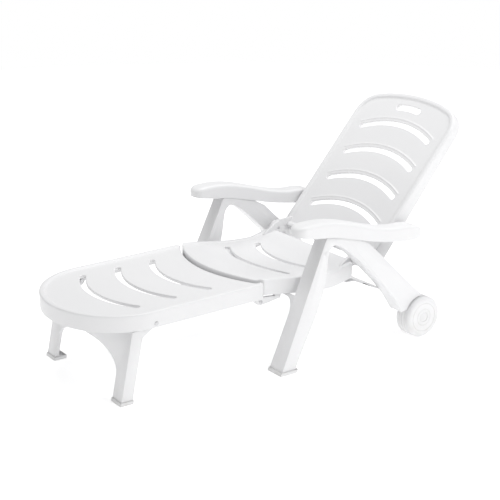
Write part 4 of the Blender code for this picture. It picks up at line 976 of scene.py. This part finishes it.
def backUnder(x):
    return back["face"] - back["dish"] - back["wall"] + rib["sink"]


bow, span = -back["slotBow"], back["slotSpan"]
backLines = []
for at in backSlots:
    backLines += [crossRib(at + back["ribAbove"], bow, back["ribSpan"], backUnder),
                  crossRib(at - back["ribBelow"], bow, back["ribSpan"], backUnder)]
    start, end = (at - away for away in back["shortRib"])
    backLines += longRibs(start, end, bow, span, rib["places"], backUnder)
for upper, lower in zip(backSlots, backSlots[1:]):
    start, end = lower + back["longRib"][0], upper - back["longRib"][1]
    backLines += longRibs(start, end, bow, span, rib["farPlaces"], backUnder)
addRibs("backrestRibs", backLines, standUp, "backrest", back["ribDepth"])
dress(shift(backShell, standUp), panelPlastic, "backrest", ["backrest_panel"])
print("backrest", len(backShell.data.polygons), "faces")

armrest = {
    "inner": 0.309, "outer": 0.389, "nose": 0.372, "tail": 0.238, "wall": 0.003, "spacing": 0.0046,
    "edgeRadius": 0.013, "edgeFall": 0.9, "noseCorners": (0.030, 0.038), "tailCorner": 0.016,
    "edgeRows": (0.0003, 0.0008, 0.0016, 0.0028, 0.0045, 0.0065, 0.0090, 0.0120, 0.0160),
    "top": ((-0.372, 0.548), (-0.345, 0.5565), (-0.300, 0.560), (-0.240, 0.5585), (-0.180, 0.5490),
            (-0.117, 0.5330), (-0.020, 0.5050), (0.060, 0.4865), (0.120, 0.4795), (0.165, 0.4790),
            (0.200, 0.4740), (0.220, 0.4675), (0.231, 0.4585), (0.2375, 0.4480)),
    "bottom": ((-0.372, 0.5190), (-0.294, 0.5060), (-0.201, 0.4950), (-0.108, 0.4720), (-0.013, 0.4470),
               (0.071, 0.4310), (0.160, 0.4200), (0.200, 0.4200), (0.220, 0.4265), (0.231, 0.4355),
               (0.2375, 0.4440)),
}
armTop, armBottom = curveThrough(armrest["top"]), curveThrough(armrest["bottom"])


def armrestOutline(sign):
    inner, outer = armrest["inner"], armrest["outer"]
    nose, tail = -armrest["nose"], armrest["tail"]
    innerCorner, outerCorner = armrest["noseCorners"]
    ring = fillet((nose, inner), (tail, inner), (nose, outer), innerCorner, 8)
    ring += fillet((nose, outer), (nose, inner), (tail, outer), outerCorner, 8)
    ring += fillet((tail, outer), (nose, outer), (tail, inner), armrest["tailCorner"], 5)
    ring += fillet((tail, inner), (tail, outer), (nose, inner), armrest["tailCorner"], 5)
    return anticlockwise([(x, sign * y) for x, y in ring])


# the rack under each armrest: notches in a rib, one of which rests on the side frame's ridge
rack = {"ridge": (-0.150, 0.498), "ridgeRadius": 0.007, "pitch": 0.0375, "notches": (-2, 2), "tooth": 0.007,
        "room": 0.0015, "thick": 0.022, "endRoom": 0.022, "notchRoom": 0.0025, "floorShare": 0.55,
        "sink": 0.0005, "bevel": 0.0006}


def rackOutline():
    pivot = Vector((armAxis.x - hinge.x, armAxis.z))
    along = Vector(rack["ridge"]) - pivot
    reach = along.length
    along.normalize()
    up = Vector((along.y, -along.x))
    tip, half = rack["ridgeRadius"] + rack["room"], rack["ridgeRadius"] + rack["notchRoom"]
    floorHalf, floorHeight = half * rack["floorShare"], tip + rack["tooth"]
    first, last = rack["notches"]
    line = [(reach + first * rack["pitch"] - rack["endRoom"], tip)]
    for notch in range(first, last + 1):
        middle = reach + notch * rack["pitch"]
        line += [(middle - half, tip), (middle - floorHalf, floorHeight), (middle + floorHalf, floorHeight),
                 (middle + half, tip)]
    line.append((reach + last * rack["pitch"] + rack["endRoom"], tip))
    lower = [tuple(pivot + along * distance + up * height) for distance, height in line]
    roof = np.linspace(lower[-1][0], lower[0][0], 12)
    upper = [(x, float(armTop(x)) - armrest["wall"] + rack["sink"]) for x in roof]
    return lower + upper


for side, sign in sides:
    cover = mouldedShell("armrestCover_" + side, {
        "outline": armrestOutline(sign), "spacing": armrest["spacing"], "wall": armrest["wall"],
        "edgeRows": armrest["edgeRows"], "height": lambda x, y: armTop(x),
        "edge": lambda gap, rim: -rounded(gap, armrest["edgeRadius"]) * armrest["edgeFall"],
        "skirt": lambda x, y: float(armBottom(x)),
    })
    middle = (armrest["inner"] + armrest["outer"]) / 2
    low, high = sign * (middle - rack["thick"] / 2), sign * (middle + rack["thick"] / 2)
    addParts(cover, [plate(rackOutline(), low, high, rack["bevel"])])
    dress(shift(cover, toWorld), framePlastic, "armrest_" + side, ["armrest_" + side])
print("armrests", len(cover.data.polygons), "faces each")


def softCopy(name, node, width):
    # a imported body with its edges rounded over
    work = bmesh.new()
    work.from_mesh(frame["nodes"][node].data)
    bmesh.ops.remove_doubles(work, verts=work.verts, dist=0.00002)
    bmesh.ops.dissolve_limit(work, angle_limit=math.radians(1.5), verts=work.verts, edges=work.edges)
    piece = meshObject(name, work)
    bevel = piece.modifiers.new("edges", "BEVEL")
    bevel.width = width
    bevel.segments = 2
    bevel.limit_method = "ANGLE"
    bevel.angle_limit = math.radians(38)
    bevel.use_clamp_overlap = True
    return settle(piece)


# piece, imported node, width of the rounding, material, body
softPieces = (
    ("sideFrame_left", "side_frame_left", 0.0016, framePlastic, "frame"),
    ("sideFrame_right", "side_frame_right", 0.0016, framePlastic, "frame"),
    ("frontBridge", "front_bridge", 0.0012, framePlastic, "frame"),
    ("rearBridge", "rear_bridge", 0.0012, framePlastic, "frame"),
    ("archedLeg", "footrest_leg", 0.0015, framePlastic, "footrest_leg"),
    ("frontShoe_left", "front_foot_left", 0.0012, shoePlastic, "frame"),
    ("frontShoe_right", "front_foot_right", 0.0012, shoePlastic, "frame"),
    ("legShoe_left", "leg_foot_left", 0.0012, shoePlastic, "footrest_leg"),
    ("legShoe_right", "leg_foot_right", 0.0012, shoePlastic, "footrest_leg"),
)
for name, node, width, material, body in softPieces:
    piece = dress(softCopy(name, node, width), material, body, [node])
    calmFaces(piece)
print("frames, bridges, arched leg and shoes rounded over")

wheel = {
    "radius": 0.0855, "inner": 0.335, "outer": 0.405, "shoulder": 0.014, "wall": 0.0045, "hub": 0.016,
    "hubStands": 0.006, "bore": 0.0065, "recess": 0.020, "recessDepth": 0.008, "rings": (0.034, 0.058),
    "ringHalf": (0.0022, 0.0010), "ringDepth": 0.0011, "treadHalf": (0.0024, 0.0012), "treadDepth": 0.0013,
    "treadAt": (0.381, 0.366, 0.351), "chamfer": 0.0008,
    "spokes": 8, "spokeThick": 0.0028, "spokeRoom": 0.030, "spokeShift": 0.002, "spokeSink": 0.001,
}


def groove(level, depth, halves):
    # a trapezoid groove as (distance along the face, height) pairs round its middle
    wide, narrow = halves
    return ((-wide, level), (-narrow, level - depth), (narrow, level - depth), (wide, level))


def wheelProfile():
    # (radius, distance from the middle plane) round one half of the wheel's section
    radius, outer, inner, wall = wheel["radius"], wheel["outer"], wheel["inner"], wheel["wall"]
    shoulder, bore, hub, recess = wheel["shoulder"], wheel["bore"], wheel["hub"], wheel["recess"]
    recessFloor, hubEnd = outer - wheel["recessDepth"], inner - wheel["hubStands"]
    chamfer = wheel["chamfer"]
    face = [(bore, recessFloor), (recess, recessFloor), (recess, outer - chamfer), (recess + chamfer, outer)]
    for ring in wheel["rings"]:
        face += [(ring + step, y) for step, y in groove(outer, wheel["ringDepth"], wheel["ringHalf"])]
    turns = [math.pi / 2 * i / 10 for i in range(11)]
    edge = [(radius - shoulder + shoulder * math.sin(turn), outer - shoulder + shoulder * math.cos(turn))
            for turn in turns]
    tread = []
    for middle in wheel["treadAt"]:
        tread += [(r, middle - step) for step, r in groove(radius, wheel["treadDepth"], wheel["treadHalf"])]
    lip = [(radius, inner + 0.0022), (radius - 0.0006, inner + 0.0007), (radius - 0.0022, inner),
           (radius - wall, inner + 0.0006), (radius - wall, outer - shoulder)]
    cup = [(radius - shoulder, outer - wall), (recess + wall, outer - wall),
           (recess + wall, recessFloor - wall), (hub, recessFloor - wall),
           (hub, hubEnd + chamfer), (hub - chamfer, hubEnd), (bore, hubEnd)]
    return face + edge + tread + lip + cup


for side, sign in sides:
    low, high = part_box("wheel_" + side)
    x, z = (low.x + high.x) / 2, (low.z + high.z) / 2
    body = meshObject("wheelBody_" + side, turned(wheelProfile(), x, z, sign))
    dress(body, wheelPlastic, "wheel_" + side, ["wheel_" + side])
    blades = lineObject("wheelSpokes_" + side, [])
    spokes.cook(blades, {
        "Count": wheel["spokes"], "Inner": wheel["hub"] - wheel["spokeSink"],
        "Outer": wheel["radius"] - wheel["wall"] + wheel["spokeSink"], "Thickness": wheel["spokeThick"],
        "Width": wheel["outer"] - wheel["inner"] - wheel["spokeRoom"], "Material": wheelPlastic})
    across = sign * ((wheel["outer"] + wheel["inner"]) / 2 + wheel["spokeShift"])
    shift(blades, Matrix.Translation((x, across, z)))
    dress(blades, wheelPlastic, "wheel_" + side, sharp=rib["sharp"])
    calmFaces(blades)
print("wheels ready")

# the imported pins, axles, bolts, screws, nuts, caps and plugs keep their shape
for name, node in frame["nodes"].items():
    if not node.hide_render:
        plastic = name.startswith(("hub_cap", "frame_plug"))
        node.data.materials.clear()
        node.data.materials.append(wheelPlastic if plastic else steel)
print("packed pieces dressed")

# the camera's places are given from the backrest's hinge along the lounger
view = {"lens": 89.1, "sensor": 36.0, "from": (-3.01045, -3.83130, 1.84865), "to": (-0.3248, 0.0, 0.3689)}
camera = bpy.data.objects.new("camera", bpy.data.cameras.new("camera"))
camera.data.lens = view["lens"]
camera.data.sensor_width = view["sensor"]
camera.location = toWorld @ Vector(view["from"])
target = toWorld @ Vector(view["to"])
camera.rotation_euler = (target - camera.location).to_track_quat("-Z", "Y").to_euler()
bpy.context.scene.collection.objects.link(camera)
bpy.context.scene.camera = camera

stage = {"floor": 14.0, "glow": 0.42, "farGlow": 1.55, "near": 2.6, "far": 6.5, "wallRadius": 7.0,
         "wallHeight": 9.0, "wallSink": 0.5, "world": 0.50, "aim": (0.0, 0.0, 0.3)}
floorShape = bmesh.new()
bmesh.ops.create_grid(floorShape, x_segments=1, y_segments=1, size=stage["floor"])
floor = meshObject("floor", floorShape)
floorFinish = Finish("pale floor")
floorColour = floorFinish.mix(floorFinish.noise(0.8), grey(0.93), grey(0.95))
away = floorFinish.value("ShaderNodeVectorMath", {"operation": "LENGTH"}, {0: floorFinish.place}, "Value")
glow = floorFinish.mix(floorFinish.band(away, stage["near"], stage["far"]), grey(1.0), grey(stage["farGlow"]))
floorFinish.surface(colour=floorColour, roughness=0.9, specular=0.1, glow=glow, glowStrength=stage["glow"])
floor.data.materials.append(floorFinish.material)

# a pale wall round the floor, seen by the camera only, so it adds no light to the lounger
wallShape = bmesh.new()
bmesh.ops.create_cone(wallShape, segments=96, radius1=stage["wallRadius"], radius2=stage["wallRadius"],
                      depth=stage["wallHeight"])
bmesh.ops.translate(wallShape, verts=wallShape.verts,
                    vec=(0.0, 0.0, stage["wallHeight"] / 2 - stage["wallSink"]))
backdrop = meshObject("backdrop", wallShape)
for ray in ("diffuse", "glossy", "transmission", "volume_scatter", "shadow"):
    setattr(backdrop, "visible_" + ray, False)
wallFinish = Finish("pale wall")
wallFinish.surface(colour=grey(0.0), roughness=1.0, specular=0.0, glow=grey(1.0), glowStrength=1.0)
backdrop.data.materials.append(wallFinish.material)

lights = {
    "key": {"at": (1.6, -4.2, 3.6), "size": 2.6, "power": 78.0},
    "fill": {"at": (3.6, -1.0, 2.6), "size": 3.0, "power": 25.0},
    "top": {"at": (0.2, 0.6, 4.2), "size": 3.0, "power": 92.0},
}
for name, lamp in lights.items():
    light = bpy.data.objects.new(name, bpy.data.lights.new(name, "AREA"))
    light.data.energy = lamp["power"]
    light.data.size = lamp["size"]
    light.location = lamp["at"]
    aim = Vector(stage["aim"]) - Vector(lamp["at"])
    light.rotation_euler = aim.to_track_quat("-Z", "Y").to_euler()
    bpy.context.scene.collection.objects.link(light)

world = bpy.data.worlds.new("studio")
world.use_nodes = True
world.node_tree.nodes["Background"].inputs["Color"].default_value = grey(1.0)
world.node_tree.nodes["Background"].inputs["Strength"].default_value = stage["world"]
bpy.context.scene.world = world
bpy.context.scene.view_settings.view_transform = "Standard"
print("stage ready")
